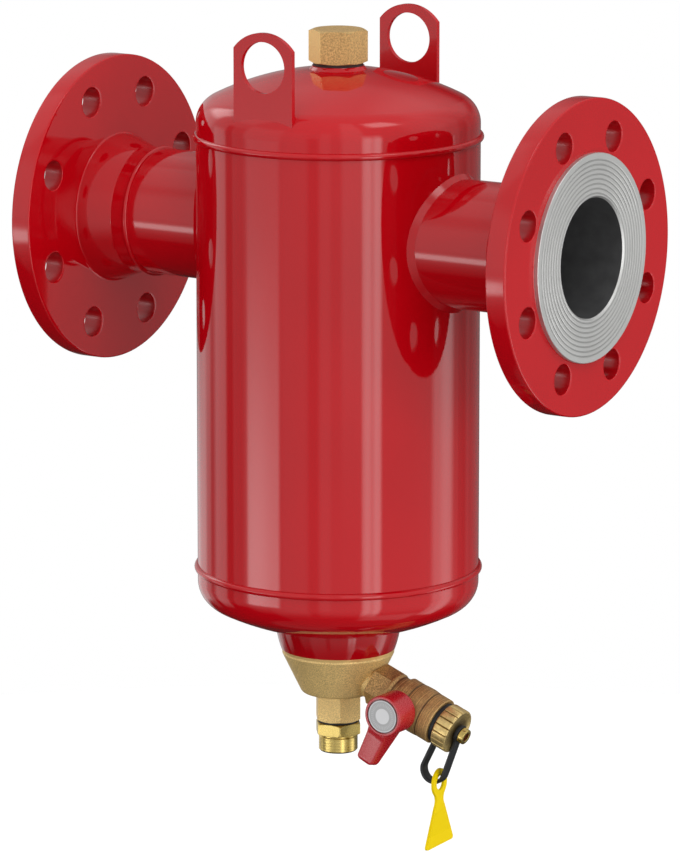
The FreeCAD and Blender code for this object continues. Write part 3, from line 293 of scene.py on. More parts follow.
class LeverForm(PropertyGroup):
    """Lever in the valve's frame, measured from the valve's axis and from the stem's."""
    at: length("Stem station", 0.0565, "Station of the stem's axis")
    back: length("Back", 0.0158, "Valve axis to the hub's back")
    front: length("Front", 0.0331, "Valve axis to the hub's front")
    radius: length("Hub radius", 0.0124, "Radius of the hub")
    rim: length("Rim rounding", 0.0009, "Rounding of the hub's edges")
    recess: length("Recess radius", 0.0107, "Radius of the disc's recess")
    recess_depth: length("Recess depth", 0.0008, "Depth of the disc's recess")
    screw_room: length("Screw room radius", 0.0047, "Radius of the room for the screw's head")
    screw_seat: length("Screw seat", 0.0273, "Valve axis to the screw's seat")
    screw_hole: length("Screw hole radius", 0.0018, "Radius of the screw's hole")
    socket: length("Socket radius", 0.00355, "Radius of the stem's socket")
    socket_end: length("Socket end", 0.0243, "Valve axis to the socket's end")
    well: length("Well radius", 0.0092, "Radius of the room for the gland nut")
    well_end: length("Well end", 0.0173, "Valve axis to the end of that room")
    start: length("Handle start", 0.0100, "Stem axis to the handle's hidden end in the hub")
    reach: length("Reach", 0.0331, "Stem axis to the handle's tip")
    soft_end: length("Soft end", 0.0022, "Length over which the tip is rounded")
    root: length("Root half width", 0.0066, "Half of the handle's width at the hub")
    tip: length("Tip half width", 0.0056, "Half of the handle's width at its tip")
    tip_depth: length("Tip depth", 0.0060, "Depth of the handle at its tip")
    flare: length("Flare", 0.0013, "Half the back's width less half the front's")
    handle_edge: length("Handle rounding", 0.0011, "Rounding of the handle's long edges")
    set_back: FloatProperty(name="Set", description="Handle's angle from square to the valve",
                            default=math.radians(3.9), subtype="ANGLE")


class CapForm(PropertyGroup):
    """Fluted hose cap and its screw, along the valve's axis."""
    start: length("Mouth", 0.0807, "Station of the cap's mouth")
    height: length("Height", 0.0102, "Height of the cap")
    radius: length("Radius", 0.0139, "Radius over the lands")
    bore: length("Bore radius", 0.0124, "Radius of the bore")
    wall: length("Wall", 0.0025, "Wall behind the face")
    edge: length("Edge", 0.0011, "Rounding of the edges")
    flutes: IntProperty(name="Flutes", description="Number of flutes", default=18, min=3)
    flute_width: share("Flute width", 0.26, "Share of a step that a flute takes")
    flute: length("Flute depth", 0.0009, "Depth of a flute")
    shank: length("Shank radius", 0.0021, "Radius of the screw's shank")
    head_at: length("Head station", 0.0939, "Station of the screw's head")
    head: length("Head radius", 0.0048, "Radius of the screw's head")
    head_height: length("Head height", 0.0035, "Height of the screw's head")
    socket: length("Socket flats", 0.0050, "Size of the hexagon socket")
    socket_depth: length("Socket depth", 0.0024, "Depth of the socket")
    dish: length("Dish", 0.0003, "Depth of the cap's face inside its rim")
    head_edge: length("Head edge", 0.0005, "Rounding of the screw's head")
    nick: length("Nick", 0.0002, "Edge break of the head's foot and of the socket")


class StageForm(PropertyGroup):
    """Floor, room and camera."""
    floor: FloatProperty(name="Floor", description="Height of the floor", default=-0.56,
                         unit="LENGTH")
    floor_radius: length("Floor radius", 1.1, "Radius of the floor")
    floor_shown: colour("Floor, shown", (0.44, 0.44, 0.44), "Floor's own colour in view")
    floor_glow: share("Floor glow", 0.65, "Pale share that the camera alone sees")
    room: FloatProperty(name="Room", description="Light of the room's walls", default=0.74)
    room_low: share("Room, low", 0.18, "Share of that light from low down")
    room_back: share("Room, behind", 0.07, "Light from behind the vessel, low down")
    room_crown: share("Room, crown", 0.66, "Light that is added behind the vessel high up")
    room_fill: FloatProperty(name="Fill", description="Room's light on matt surfaces", default=1.0)
    camera: FloatVectorProperty(name="Camera", description="Place of the camera", size=3,
                                default=(1.9428, -2.7047, 0.5519), subtype="TRANSLATION",
                                unit="LENGTH")
    azimuth: FloatProperty(name="Azimuth", description="Camera's angle round the vessel",
                           default=math.radians(33.15), subtype="ANGLE")
    elevation: FloatProperty(name="Elevation", description="Camera's angle above the horizon",
                             default=math.radians(11.76), subtype="ANGLE")
    lens: FloatProperty(name="Lens", description="Focal length in millimetres", default=231.6)


# Shader sums


class Wire:
    """A shader socket in an expression: each operation on it adds one Math node."""

    def __init__(self, graph, socket):
        self.graph = graph
        self.socket = socket

    def maths(self, operation, *terms):
        """The Math node of that operation on this socket and the other terms."""
        values = dict(enumerate((self,) + terms))
        return self.graph.node("ShaderNodeMath", {"operation": operation}, values)

    def output(self, name):
        """Another output of the same node."""
        return Wire(self.graph, self.socket.node.outputs[name])

    def __add__(self, other):
        return self.maths("ADD", other)

    def __mul__(self, other):
        return self.maths("MULTIPLY", other)

    def __sub__(self, other):
        return self.maths("SUBTRACT", other)

    def __truediv__(self, other):
        return self.maths("DIVIDE", other)

    def __pow__(self, other):
        return self.maths("POWER", other)

    def __lt__(self, other):
        return self.maths("LESS_THAN", other)

    def __gt__(self, other):
        return self.maths("GREATER_THAN", other)

    def __rsub__(self, other):
        return self * -1.0 + other

    def __rtruediv__(self, other):
        return self ** -1.0 * other

    __radd__ = __add__
    __rmul__ = __mul__


class Graph:
    """A node tree that is filled from expressions."""

    def __init__(self, tree):
        self.tree = tree
        tree.nodes.clear()

    def node(self, kind, settings=None, values=None, output=0):
        """Adds a node, sets its settings, then its sockets' values or links."""
        made = self.tree.nodes.new(kind)
        for key, setting in (settings or {}).items():
            setattr(made, key, setting)
        for key, value in (values or {}).items():
            if isinstance(value, Wire):
                self.tree.links.new(value.socket, made.inputs[key])
            else:
                made.inputs[key].default_value = value
        return None if output is None else Wire(self, made.outputs[output])

    def mix(self, first, second, amount):
        """Colour between two colours."""
        values = {0: amount, 6: rgba(first), 7: rgba(second)}
        return self.node("ShaderNodeMix", {"data_type": "RGBA"}, values, 2)

    def noise(self, place, scale, detail=2.0, roughness=0.5):
        """Cloud pattern between nought and one, turned off the axes so that no flat face meets its
        lattice squarely."""
        place = self.node("ShaderNodeMapping", None, {"Vector": place, "Rotation": (0.6, 0.4, 0.9)})
        values = {"Vector": place, "Scale": scale, "Detail": detail, "Roughness": roughness}
        return self.node("ShaderNodeTexNoise", None, values, "Fac")

    def lines(self, way, scale, detail=2.0):
        """Uneven lines across one way: a noise of that number alone."""
        return self.node("ShaderNodeTexNoise", {"noise_dimensions": "1D"},
                         {"W": way, "Scale": scale, "Detail": detail}, "Fac")

    def smooth_step(self, value, low, high):
        """Nought below low, one above high and a smooth rise between."""
        values = {"Value": value, "From Min": low, "From Max": high}
        return self.node("ShaderNodeMapRange", {"interpolation_type": "SMOOTHSTEP"}, values)

    def between(self, value, low, high, soft):
        """One between low and high, nought outside, with soft edges of that width."""
        rise = self.smooth_step(value, low - soft / 2, low + soft / 2)
        return rise - self.smooth_step(value, high - soft / 2, high + soft / 2)

    def bump(self, height, distance):
        """Normal tilted by a height pattern of that size in metres."""
        values = {"Height": height, "Distance": distance, "Strength": 1.0}
        return self.node("ShaderNodeBump", None, values)

    def place(self):
        """Object coordinates, with the vessel axis and the inlet face where the CAD has them."""
        return self.node("ShaderNodeTexCoord", None, None, "Object")

    def split(self, vector):
        """The three parts of a vector."""
        parts = self.node("ShaderNodeSeparateXYZ", None, {0: vector})
        return parts, parts.output("Y"), parts.output("Z")

    def dot(self, first, second):
        """Dot product of two vectors."""
        return self.node("ShaderNodeVectorMath", {"operation": "DOT_PRODUCT"},
                         {0: first, 1: second}, "Value")

    def across(self, first, second):
        """Distance from an axis, by the two parts square to it."""
        return (first * first + second * second).maths("SQRT")

    def from_point(self, place, point):
        """Vector from a fixed point to the shaded one."""
        return self.node("ShaderNodeVectorMath", {"operation": "SUBTRACT"}, {0: place, 1: point})

    def coat(self, tone, rough, normal, metallic=0.0, **constants):
        """Principled shader as the surface. Constants are sockets that are the same all over."""
        names = {"ior": "IOR", "specular": "Specular IOR Level"}
        values = {"Base Color": rgba(tone), "Roughness": rough, "Metallic": metallic,
                  "Normal": normal}
        values.update({names[key]: value for key, value in constants.items()})
        self.end("ShaderNodeOutputMaterial", self.node("ShaderNodeBsdfPrincipled", None, values))

    def end(self, kind, surface):
        """Leads a shader to the tree's output."""
        self.node(kind, None, {"Surface": surface}, None)


def rgba(tone):
    """A wire as it is, or a colour with full alpha."""
    return tone if isinstance(tone, Wire) else (tone[0], tone[1], tone[2], 1.0)


def shade(tone, times):
    """A colour that many times as bright."""
    return tuple(min(1.0, times * part) for part in tone)


def new_finish(name):
    """A material and the graph of its nodes."""
    material = bpy.data.materials.new(name)
    material.use_nodes = True
    return material, Graph(material.node_tree)


# Finishes


def red_paint(graph, place, bare=None):
    """Gloss paint with faint clouds and orange peel. Bare says which wall stays unpainted: vessel
    for faces that look at the vessel's middle, bore for the inside of a nozzle, rim for the
    collar's lowest edge, where the bowl's brass shows. With rim the collar's paint is also made a
    fifth darker all over, which is painted shade."""
    look = bpy.context.scene.separator_steel
    cloud = graph.noise(place, 9.0, 3.0)
    peel = graph.noise(place, 400.0, 2.0, 0.45)
    dust = graph.noise(place, 1900.0, 1.0)
    tone = graph.mix(look.red_deep, look.red, graph.smooth_step(cloud, 0.3, 0.7))
    # On the collar the whole paint is made a fifth darker: painted shade.
    if bare == "rim":
        tone = graph.mix(tone, (0.0, 0.0, 0.0), 0.2)
    rough = (cloud - 0.5) * 0.03 + (dust - 0.5) * 0.02 + look.gloss
    metal = 0.0
    if bare:
        if bare == "vessel":
            outward = graph.from_point(place, VESSEL_MIDDLE)
            normal = graph.node("ShaderNodeTexCoord", None, None, "Normal")
            inner = graph.dot(normal, outward) < 0.0
        elif bare == "rim":
            inner = graph.split(place)[2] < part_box("drain_collar")[0].z + COLLAR_RIM
        else:
            across = graph.split(place)
            inner = (across[1] * across[1] + across[2] * across[2]) < BARE_BORE ** 2
        scale = graph.noise(place, 160.0, 4.0)
        base = bpy.context.scene.separator_brass.cast if bare == "rim" else look.bare
        steel = graph.mix(base, shade(base, 1.2 if bare == "rim" else 2.2), scale)
        tone = graph.mix(tone, steel, inner)
        rough = rough + inner * (scale * 0.25 + 0.25)
        metal = inner * 0.6
    graph.coat(tone, rough, graph.bump(peel, look.peel), metal, ior=1.5)


def machined_face(graph, place):
    """Turned steel with fine rings about the nozzle axis, with painted shade down in the grooves.
    """
    look = bpy.context.scene.separator_steel
    form = bpy.context.scene.separator_flange
    across = graph.split(place)
    radius = graph.across(across[1], across[2])
    rings = graph.lines(radius, 5200.0)
    stain = graph.noise(place, 45.0, 4.0)
    turn = (radius - form.first_groove) / form.groove_pitch + 0.5
    from_groove = (turn.maths("FRACT") - 0.5).maths("ABSOLUTE")
    in_groove = 1.0 - graph.smooth_step(from_groove, 0.10, 0.26)
    banded = radius > form.first_groove - form.groove_pitch / 2
    last = form.first_groove + form.groove_pitch * (form.grooves - 0.5)
    in_groove = in_groove * banded * (radius < last)
    tone = graph.mix(look.machined, shade(look.machined, 0.86), stain)
    # Painted shade down in the grooves.
    tone = graph.mix(tone, shade(look.machined, 0.50), in_groove * 0.55)
    rough = rings * 0.12 + 0.36
    graph.coat(tone, rough, graph.bump(rings, 0.000012), 0.85)


def bore_steel(graph, place):
    """Dark unpainted bore with mill scale."""
    look = bpy.context.scene.separator_steel
    scale = graph.noise(place, 140.0, 5.0)
    tone = graph.mix(look.bare, shade(look.bare, 1.8), scale)
    graph.coat(tone, scale * 0.2 + 0.42, graph.bump(scale, 0.00006), 0.55)


def cast_metal(graph, place, base, grain, relief, rough, contrast, metal=0.40, lit_flat=None):
    """Blasted or sand-cast alloy: grains of that many per metre, lighter and darker spots. The last
    argument gives the direction and the distance from the vessel's axis of a flat that is painted
    lighter, a painted highlight."""
    speck = graph.noise(place, grain, 3.0, 0.65)
    patch = graph.noise(place, 70.0, 3.0)
    light = shade(base, 1.0 + contrast)
    dark = shade(base, 1.0 - contrast)
    tone = graph.mix(dark, light, graph.smooth_step(speck, 0.32, 0.68))
    tone = graph.mix(tone, shade(base, 0.80), graph.smooth_step(patch, 0.45, 0.8) * 0.5)
    # One flat is painted lighter: a painted highlight.
    if lit_flat:
        angle, distance = lit_flat
        away = graph.from_point(place, (AXIS_X, 0.0, 0.0))
        out = graph.dot(away, (math.cos(angle), math.sin(angle), 0.0))
        painted_light = graph.smooth_step(out, distance - 0.0003, distance - 0.0001)
        tone = graph.mix(tone, shade(base, 1.9), painted_light * 0.72)
    height = speck + patch * 0.6
    graph.coat(tone, rough + (speck - 0.5) * 0.25, graph.bump(height, relief), metal)


def along_valve(graph, place):
    """Up, across and along parts of a place in the valve's frame."""
    frame_here = valve_frame()
    away = graph.from_point(place, tuple(frame_here[:3, 3]))
    return [graph.dot(away, tuple(frame_here[:3, column])) for column in range(3)]


def ringed_bronze(graph, place):
    """Cast bronze with rough turning round the valve's axis: rings from a one-dimensional noise of
    the way along it, painted shade in the neck and in the two ring grooves, and rust-brown stains."""
    base = bpy.context.scene.separator_brass.valve
    station = along_valve(graph, place)[2]
    wander = graph.noise(place, 260.0, 2.0)
    rings = graph.lines(station + wander * 0.0012, 1500.0, 3.0)
    on_body = graph.smooth_step(station, *BODY_START)
    speck = graph.noise(place, 1200.0, 3.0, 0.65)
    patch = graph.noise(place, 110.0, 4.0, 0.6)
    grain = graph.smooth_step(speck * (1.0 - on_body * 0.55) + rings * (on_body * 0.55), 0.34, 0.66)
    tone = graph.mix(shade(base, 0.50), shade(base, 1.40), grain)
    brown = (0.26, 0.105, 0.045)
    tone = graph.mix(tone, brown, graph.smooth_step(patch, 0.46, 0.72) * (on_body * 0.35 + 0.3))
    # Painted shade in the neck and the two ring grooves: the mask below and its near-black brown.
    dirt = graph.between(station, *SHADED_RINGS[0])
    for ring in SHADED_RINGS[1:]:
        dirt = dirt + graph.between(station, *ring)
    tone = graph.mix(tone, (0.06, 0.028, 0.015), dirt * 0.75)
    height = speck * 0.6 + rings * (on_body * 0.9)
    graph.coat(tone, speck * 0.2 + 0.36, graph.bump(height, 0.00020), 0.5)


def fluted_brass(graph, place):
    """Moulded brass cap: painted shade and a rougher surface along each flute, found from the angle
    round the valve's axis, painted shade on the face towards its middle, and fine tool rings on the
    face."""
    scene = bpy.context.scene
    base, form = scene.separator_brass.cap, scene.separator_cap
    up, across = along_valve(graph, place)[:2]
    radius = graph.across(up, across)
    turn = across.maths("ARCTAN2", up) * (form.flutes / (2 * math.pi)) + 100.0
    from_flute = (turn.maths("FRACT") - 0.5).maths("ABSOLUTE")
    flute = (1.0 - graph.smooth_step(from_flute, 0.02, 0.11)) * (radius > form.radius - 0.0016)
    inward = 1.0 - graph.smooth_step(radius, 0.0060, 0.0125)
    cloud = graph.noise(place, 240.0, 4.0, 0.6)
    fine = graph.noise(place, 1500.0, 2.0)
    tone = graph.mix(shade(base, 0.72), base, graph.smooth_step(cloud, 0.3, 0.6))
    # Painted shade in the flutes.
    tone = graph.mix(tone, (0.120, 0.065, 0.020), flute * 0.75)
    # Painted shade on the face towards its middle, round the screw and the strap's ring.
    tone = graph.mix(tone, (0.075, 0.045, 0.020), inward * 0.8)
    graph.coat(tone, fine * 0.10 + 0.24 + flute * 0.2, graph.bump(fine, 0.000008), 0.7)


def turned_brass(graph, place, base, rough):
    """Machined brass with fine tool lines along its height and a few dull patches."""
    lines = graph.lines(graph.split(place)[2], 7000.0)
    patch = graph.noise(place, 160.0, 3.0)
    tone = graph.mix(shade(base, 0.78), base, graph.smooth_step(patch, 0.25, 0.6))
    rough = rough + lines * 0.05 + (patch - 0.5) * 0.08
    graph.coat(tone, rough, graph.bump(lines, 0.0000015), 1.0)


def plated_steel(graph, place, base, rough):
    """Zinc or chrome plate with faint clouds."""
    cloud = graph.noise(place, 220.0, 3.0)
    tone = graph.mix(shade(base, 0.82), base, cloud)
    graph.coat(tone, rough + (cloud - 0.5) * 0.12, graph.bump(cloud, 0.00001), 1.0)


def moulded(graph, place, base, rough, grain=900.0, relief=0.000012, pale=1.10, specular=0.5):
    """Moulded plastic or rubber with a fine grain and slight flow marks."""
    fine = graph.noise(place, grain, 2.0)
    flow = graph.noise(place, 35.0, 2.0)
    tone = graph.mix(shade(base, 0.92), shade(base, pale), flow * 0.6 + fine * 0.4)
    graph.coat(tone, rough + (fine - 0.5) * 0.12, graph.bump(fine, relief), specular=specular)


def ringed_disc(graph, place):
    """Grey disc with a pale middle, a pale ring, a ring of short ticks and a dark red edge."""
    look = bpy.context.scene.separator_plastic
    low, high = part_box("lever_disc")
    middle = (low + high) / 2
    edge = (high.x - low.x) / 2
    across = graph.split(graph.from_point(place, tuple(middle)))
    radius = graph.across(across[0], across[2]) / edge
    angle = across[2].maths("ARCTAN2", across[0]) * (TICKS / (2 * math.pi))
    tick = (angle.maths("FRACT") < 0.45) * (radius > DISC_TICKS[0]) * (radius < DISC_TICKS[1])
    grain = graph.noise(place, 1500.0, 3.0)
    tone = graph.mix(look.disc, shade(look.disc, 1.25), grain)
    tone = graph.mix(tone, look.disc_light, tick * 0.35)
    tone = graph.mix(tone, look.disc_light, 1.0 - graph.smooth_step(radius, *DISC_MIDDLE))
    tone = graph.mix(tone, look.disc_light, graph.between(radius, *DISC_RING, 0.02) * 0.75)
    tone = graph.mix(tone, (0.085, 0.003, 0.006), graph.smooth_step(radius, *DISC_EDGE))
    graph.coat(tone, grain * 0.1 + 0.34, graph.bump(grain, 0.000006))


def tag_plastic(graph, place):
    """Moulded plastic with a plain sunk field whose sides follow the tag's flared foot. The field
    is where the least distance inside its three sides is above nought."""
    look = bpy.context.scene.separator_plastic
    low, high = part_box("tag")
    middle = (low.x + high.x) / 2
    across = graph.split(place)
    width = (across[0] - middle) / math.cos(TAG_TURN)
    rise = across[2] - low.z
    above_foot = rise - TAG_FOOT
    from_sides = ((TAG_APEX - rise) * math.sin(TAG_LEAN)
                  - width.maths("ABSOLUTE") * math.cos(TAG_LEAN))
    inside = from_sides.maths("MINIMUM", above_foot)
    sunk = graph.smooth_step(inside, 0.0, 0.00035)
    fine = graph.noise(place, 1200.0, 2.0)
    flow = graph.noise(place, 40.0, 2.0)
    tone = graph.mix(shade(look.tag, 0.94), look.tag, flow)
    tone = graph.mix(tone, shade(look.tag, 0.92), sunk * 0.6)
    height = fine * 0.08 - sunk
    graph.coat(tone, fine * 0.10 + 0.38 + sunk * 0.1, graph.bump(height, 0.00012), specular=0.08)


def finish(name):
    """The finish of that name, made when it is first asked for."""
    known = bpy.data.materials.get(name)
    if known:
        return known
    scene = bpy.context.scene
    steel, brass, plastic = scene.separator_steel, scene.separator_brass, scene.separator_plastic
    makers = {
        "gloss_red_paint": (red_paint,),
        "gloss_red_vessel": (red_paint, "vessel"),
        "gloss_red_nozzle": (red_paint, "bore"),
        "gloss_red_collar": (red_paint, "rim"),
        # Bolt hole walls: darker paint, as painted shade inside the holes.
        "thin_hole_paint": (moulded, shade(steel.red_deep, 0.8), 0.3),
        "machined_gasket_face": (machined_face,),
        "bare_bore_steel": (bore_steel,),
        "blasted_bowl_brass": (cast_metal, brass.cast, 1500.0, 0.00014, 0.46, 0.32),
        "sand_cast_plug_brass": (cast_metal, brass.plug, 1000.0, 0.00018, 0.48, 0.28, 0.5,
                                 PLUG_LIT_FLAT),
        "rough_valve_bronze": (ringed_bronze,),
        "fluted_cap_brass": (fluted_brass,),
        # The socket's dark brass is painted shade.
        "shaded_socket_brass": (cast_metal, brass.socket, 1900.0, 0.00004, 0.30, 0.3, 0.8),
        "turned_sleeve_brass": (turned_brass, brass.turned, 0.24),
        "zinc_plate": (plated_steel, steel.zinc, 0.32),
        "drawn_inner_steel": (plated_steel, shade(steel.zinc, 0.8), 0.38),
        "chromed_ball": (plated_steel, (0.72, 0.72, 0.73), 0.08),
        "plated_magnet": (plated_steel, (0.60, 0.60, 0.62), 0.20),
        "pressed_fibre": (moulded, plastic.fibre, 0.75, 1100.0, 0.00005, 1.5),
        "satin_rubber": (moulded, plastic.rubber, 0.42, 1600.0, 0.00002, 1.6, 0.3),
        "seat_white": (moulded, plastic.white, 0.40),
        "element_grey": (moulded, plastic.element, 0.50),
        "lever_red": (moulded, plastic.lever, 0.27, 1400.0, 0.000001, 1.04, 0.8),
        "tag_yellow": (tag_plastic,),
        "ringed_disc_grey": (ringed_disc,),
    }
    maker, *values = makers[name]
    material, graph = new_finish(name)
    maker(graph, graph.place(), *values)
    return material


def dress(finish_name, *nodes):
    """Gives CAD nodes a finish through their material slots."""
    for node in nodes:
        for slot in NODES[node].material_slots:
            slot.link = "OBJECT"
            slot.material = finish(finish_name)


# Forms


def quads(rows, columns, close_rows, close_columns):
    """Corner numbers of the cells of a grid of points, with the closing cells where asked."""
    here = np.arange(rows * columns).reshape(rows, columns)
    below = np.roll(here, -1, axis=0)
    cells = np.stack([here, np.roll(here, -1, axis=1), np.roll(below, -1, axis=1), below], axis=-1)
    cells = cells if close_rows else cells[:-1]
    cells = cells if close_columns else cells[:, :-1]
    return cells.reshape(-1, 4)


def arc(centre, radius, start, end, steps):
    """Points of an arc in the (radius, height) plane: centre + radius * (cos a, sin a)."""
    angles = np.radians(np.linspace(start, end, steps + 1))
    return np.stack([centre[0] + radius * np.cos(angles), centre[1] + radius * np.sin(angles)],
                    axis=-1)


def outline(*runs):
    """Joins points and arcs to one profile, without the points that repeat."""
    points = np.concatenate([np.atleast_2d(np.asarray(run, float)) for run in runs])
    apart = np.linalg.norm(np.diff(points, axis=0), axis=1) > MERGE
    return points[np.concatenate([[True], apart])]


def carried_round(radii, heights, angles):
    """Surface of revolution whose radius may change with the angle: (r cos t, r sin t, h)."""
    radii = np.broadcast_to(np.asarray(radii, float), (len(heights), len(angles)))
    return np.stack([radii * np.cos(angles), radii * np.sin(angles),
                     np.broadcast_to(np.asarray(heights, float)[:, None], radii.shape)], axis=-1)


def turned(profile, angles):
    """A profile of (radius, height) pairs carried round the axis."""
    return carried_round(profile[:, :1], profile[:, 1], angles)


def moved(points, matrix):
    """Points taken through a 4 x 4 matrix."""
    matrix = np.asarray(matrix, float)
    return points @ matrix[:3, :3].T + matrix[:3, 3]


def piece(name, patches, body, stands_for=(), crease=32.0):
    """Mesh object from grids (points, close_rows, close_columns, finish name), merged, with its
    faces outwards. It rides on a body and stands for CAD nodes."""
    names = list(dict.fromkeys(patch[3] for patch in patches))
    corners, cells, marks, start = [], [], [], 0
    for points, close_rows, close_columns, finish_name in patches:
        rows, columns = points.shape[:2]
        found = quads(rows, columns, close_rows, close_columns) + start
        corners.append(points.reshape(-1, 3))
        cells.append(found)
        marks.append(np.full(len(found), names.index(finish_name)))
        start += rows * columns
    mesh = bpy.data.meshes.new(name)
    mesh.from_pydata(np.concatenate(corners).tolist(), [], np.concatenate(cells).tolist())
    mesh.polygons.foreach_set("material_index", np.concatenate(marks).astype(np.int32))
    for finish_name in names:
        mesh.materials.append(finish(finish_name))
    work = bmesh.new()
    work.from_mesh(mesh)
    bmesh.ops.remove_doubles(work, verts=work.verts, dist=MERGE)
    bmesh.ops.dissolve_degenerate(work, edges=work.edges, dist=MERGE)
    bmesh.ops.recalc_face_normals(work, faces=work.faces)
    open_edges = sum(1 for edge in work.edges if not edge.is_manifold)
    work.to_mesh(mesh)
    work.free()
    if open_edges:
        raise RuntimeError(f"{name} has {open_edges} open or shared edges")
    mesh.shade_smooth()
    mesh.set_sharp_from_angle(angle=math.radians(crease))
    made = bpy.data.objects.new(name, mesh)
    bpy.context.scene.collection.objects.link(made)
    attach(made, body)
    if stands_for:
        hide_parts(*stands_for)
    return made


def closed_ends(points):
    """A grid with a row more at each end, drawn to that end's middle."""
    ends = points.mean(axis=1, keepdims=True) * np.ones((1, points.shape[1], 1))
    return np.concatenate([ends[:1], points, ends[-1:]])


def even_angles(count):
    """Angles of a full turn in equal steps, in radians."""
    return np.arange(count) * (2 * math.pi / count)


def hexagon_radius(angles, flats, turn, keen=140.0):
    """Radius of a hexagon with slightly rounded corners: half the flats over the soft greatest of
    the cosines to its six sides, with a corner at the angle turn."""
    sides = turn + math.radians(30.0) + np.radians(60.0) * np.arange(6)
    cosines = np.cos(angles[:, None] - sides[None, :])
    greatest = np.log(np.exp(keen * (cosines - 1.0)).sum(axis=1)) / keen + 1.0
    return flats / 2 / greatest


def corner_angles(turn, per_side):
    """Angles of a full turn, closer together near the six corners of a hexagon."""
    steps = np.arange(per_side) / per_side
    eased = steps - 0.85 * np.sin(2 * math.pi * steps) / (2 * math.pi)
    sides = np.arange(6)[:, None]
    return (turn + np.radians(60.0) * (sides + eased[None, :])).reshape(-1)


# Flanges


def groove_profile(form):
    """Profile of the gasket face from its edge inwards: flat, with rings of depth
    d * exp(-(distance / (width / 2))^2 * 2) below it."""
    radii = np.linspace(form.raised - form.nick, form.bore + form.edge, 190)
    rings = form.first_groove + form.groove_pitch * np.arange(form.grooves)
    away = (radii[:, None] - rings[None, :]) / (form.groove_width / 2)
    depth = form.groove_depth * np.exp(-2.0 * away ** 2).sum(axis=1)
    return np.stack([radii, form.face - depth], axis=-1)


def bolt_sector(form, join, front, back):
    """Grid of one bolt hole's share of the ring: in from the sector's edge on the front, through
    the hole with its rounded mouths and out again on the back."""
    half = math.pi / form.bolts
    outer = form.outside - form.edge
    arc_angles = np.linspace(-half, half, 25)
    rim = np.stack([outer * np.cos(arc_angles), outer * np.sin(arc_angles)], axis=-1)
    inner = np.stack([join * np.cos(arc_angles[::-1]), join * np.sin(arc_angles[::-1])], axis=-1)
    shares = np.linspace(0.0, 1.0, 8)[1:-1, None]
    down = rim[-1] + (inner[0] - rim[-1]) * shares
    up = inner[-1] + (rim[0] - inner[-1]) * shares
    border = np.concatenate([rim, down, inner, up])
    centre = np.array([form.bolt_circle, 0.0])
    away = border - centre
    away /= np.linalg.norm(away, axis=1)[:, None]
    mouth = np.radians(np.linspace(90.0, 0.0, 5))
    reach = form.bolt_hole + form.mouth * (1.0 - np.cos(mouth))
    sink = form.mouth * (1.0 - np.sin(mouth))
    rows, heights = [], []
    for amount in (1.0, 0.94, 0.6, 0.25, 0.06):
        edge = centre + away * (form.bolt_hole + form.mouth)
        rows.append(edge + (border - edge) * amount)
        heights.append(0.0)
    rows = rows + [centre + away * r for r in reach]
    heights = np.array(heights + list(sink))
    rows = np.stack(rows)
    rows = np.concatenate([rows, rows[::-1]])
    levels = np.concatenate([front - heights, (back + heights)[::-1]])
    turns = 2 * math.pi * (np.arange(form.bolts) + 0.5) / form.bolts
    grids = []
    for turn in turns:
        x = rows[..., 0] * math.cos(turn) - rows[..., 1] * math.sin(turn)
        y = rows[..., 0] * math.sin(turn) + rows[..., 1] * math.cos(turn)
        grids.append(np.stack([x, y, np.broadcast_to(levels[:, None], x.shape)], axis=-1))
    return grids


def flange_patches(form):
    """All grids of a flange drawn about Z, with its gasket face upwards."""
    front = form.face - form.rise
    back = front - form.rim
    hub_end = back - form.hub_length
    join = form.raised + 0.0008
    angles = even_angles(form.bolts * 24)
    edge = form.edge
    rim = outline(arc((form.outside - edge, front - edge), edge, 90, 0, 6),
                  arc((form.outside - edge, back + edge), edge, 0, -90, 6))
    nick, soften = form.nick, form.soften
    foot = outline((join, front), (form.raised + nick, front), (form.raised, front + nick))
    wall = outline((form.raised, front + nick), (form.raised, form.face - nick),
                   (form.raised - nick, form.face), groove_profile(form),
                   (form.bore, form.face - edge))
    bore = outline((form.bore, form.face - edge), (form.bore, (form.face + hub_end) / 2),
                   (form.bore, hub_end), (form.pipe - soften, hub_end))
    fillet = arc((form.hub + form.hub_fillet, back - form.hub_fillet), form.hub_fillet, 180, 90, 6)
    land = hub_end + form.hub_land
    hub = outline((form.pipe - soften, hub_end), (form.pipe, hub_end + soften),
                  (form.pipe, land - 0.0012), (form.pipe + 0.0001, land - 0.0004),
                  (form.pipe + 0.0004, land + 0.0008), fillet,
                  (form.hub + form.hub_fillet + 0.0006, back), (join, back))
    patches = [(turned(rim, angles), "gloss_red_paint"), (turned(foot, angles), "gloss_red_paint"),
               (turned(wall, angles), "machined_gasket_face"),
               (turned(bore, angles), "bare_bore_steel"), (turned(hub, angles), "gloss_red_paint")]
    for grid in bolt_sector(form, join, front, back):
        # The walls of each hole take the darker paint: painted shade.
        patches += [(grid[:10], "gloss_red_paint"), (grid[9:11], "thin_hole_paint"),
                    (grid[10:], "gloss_red_paint")]
    return [(points, False, True, finish_name) for points, finish_name in patches]


# Magnet sleeve


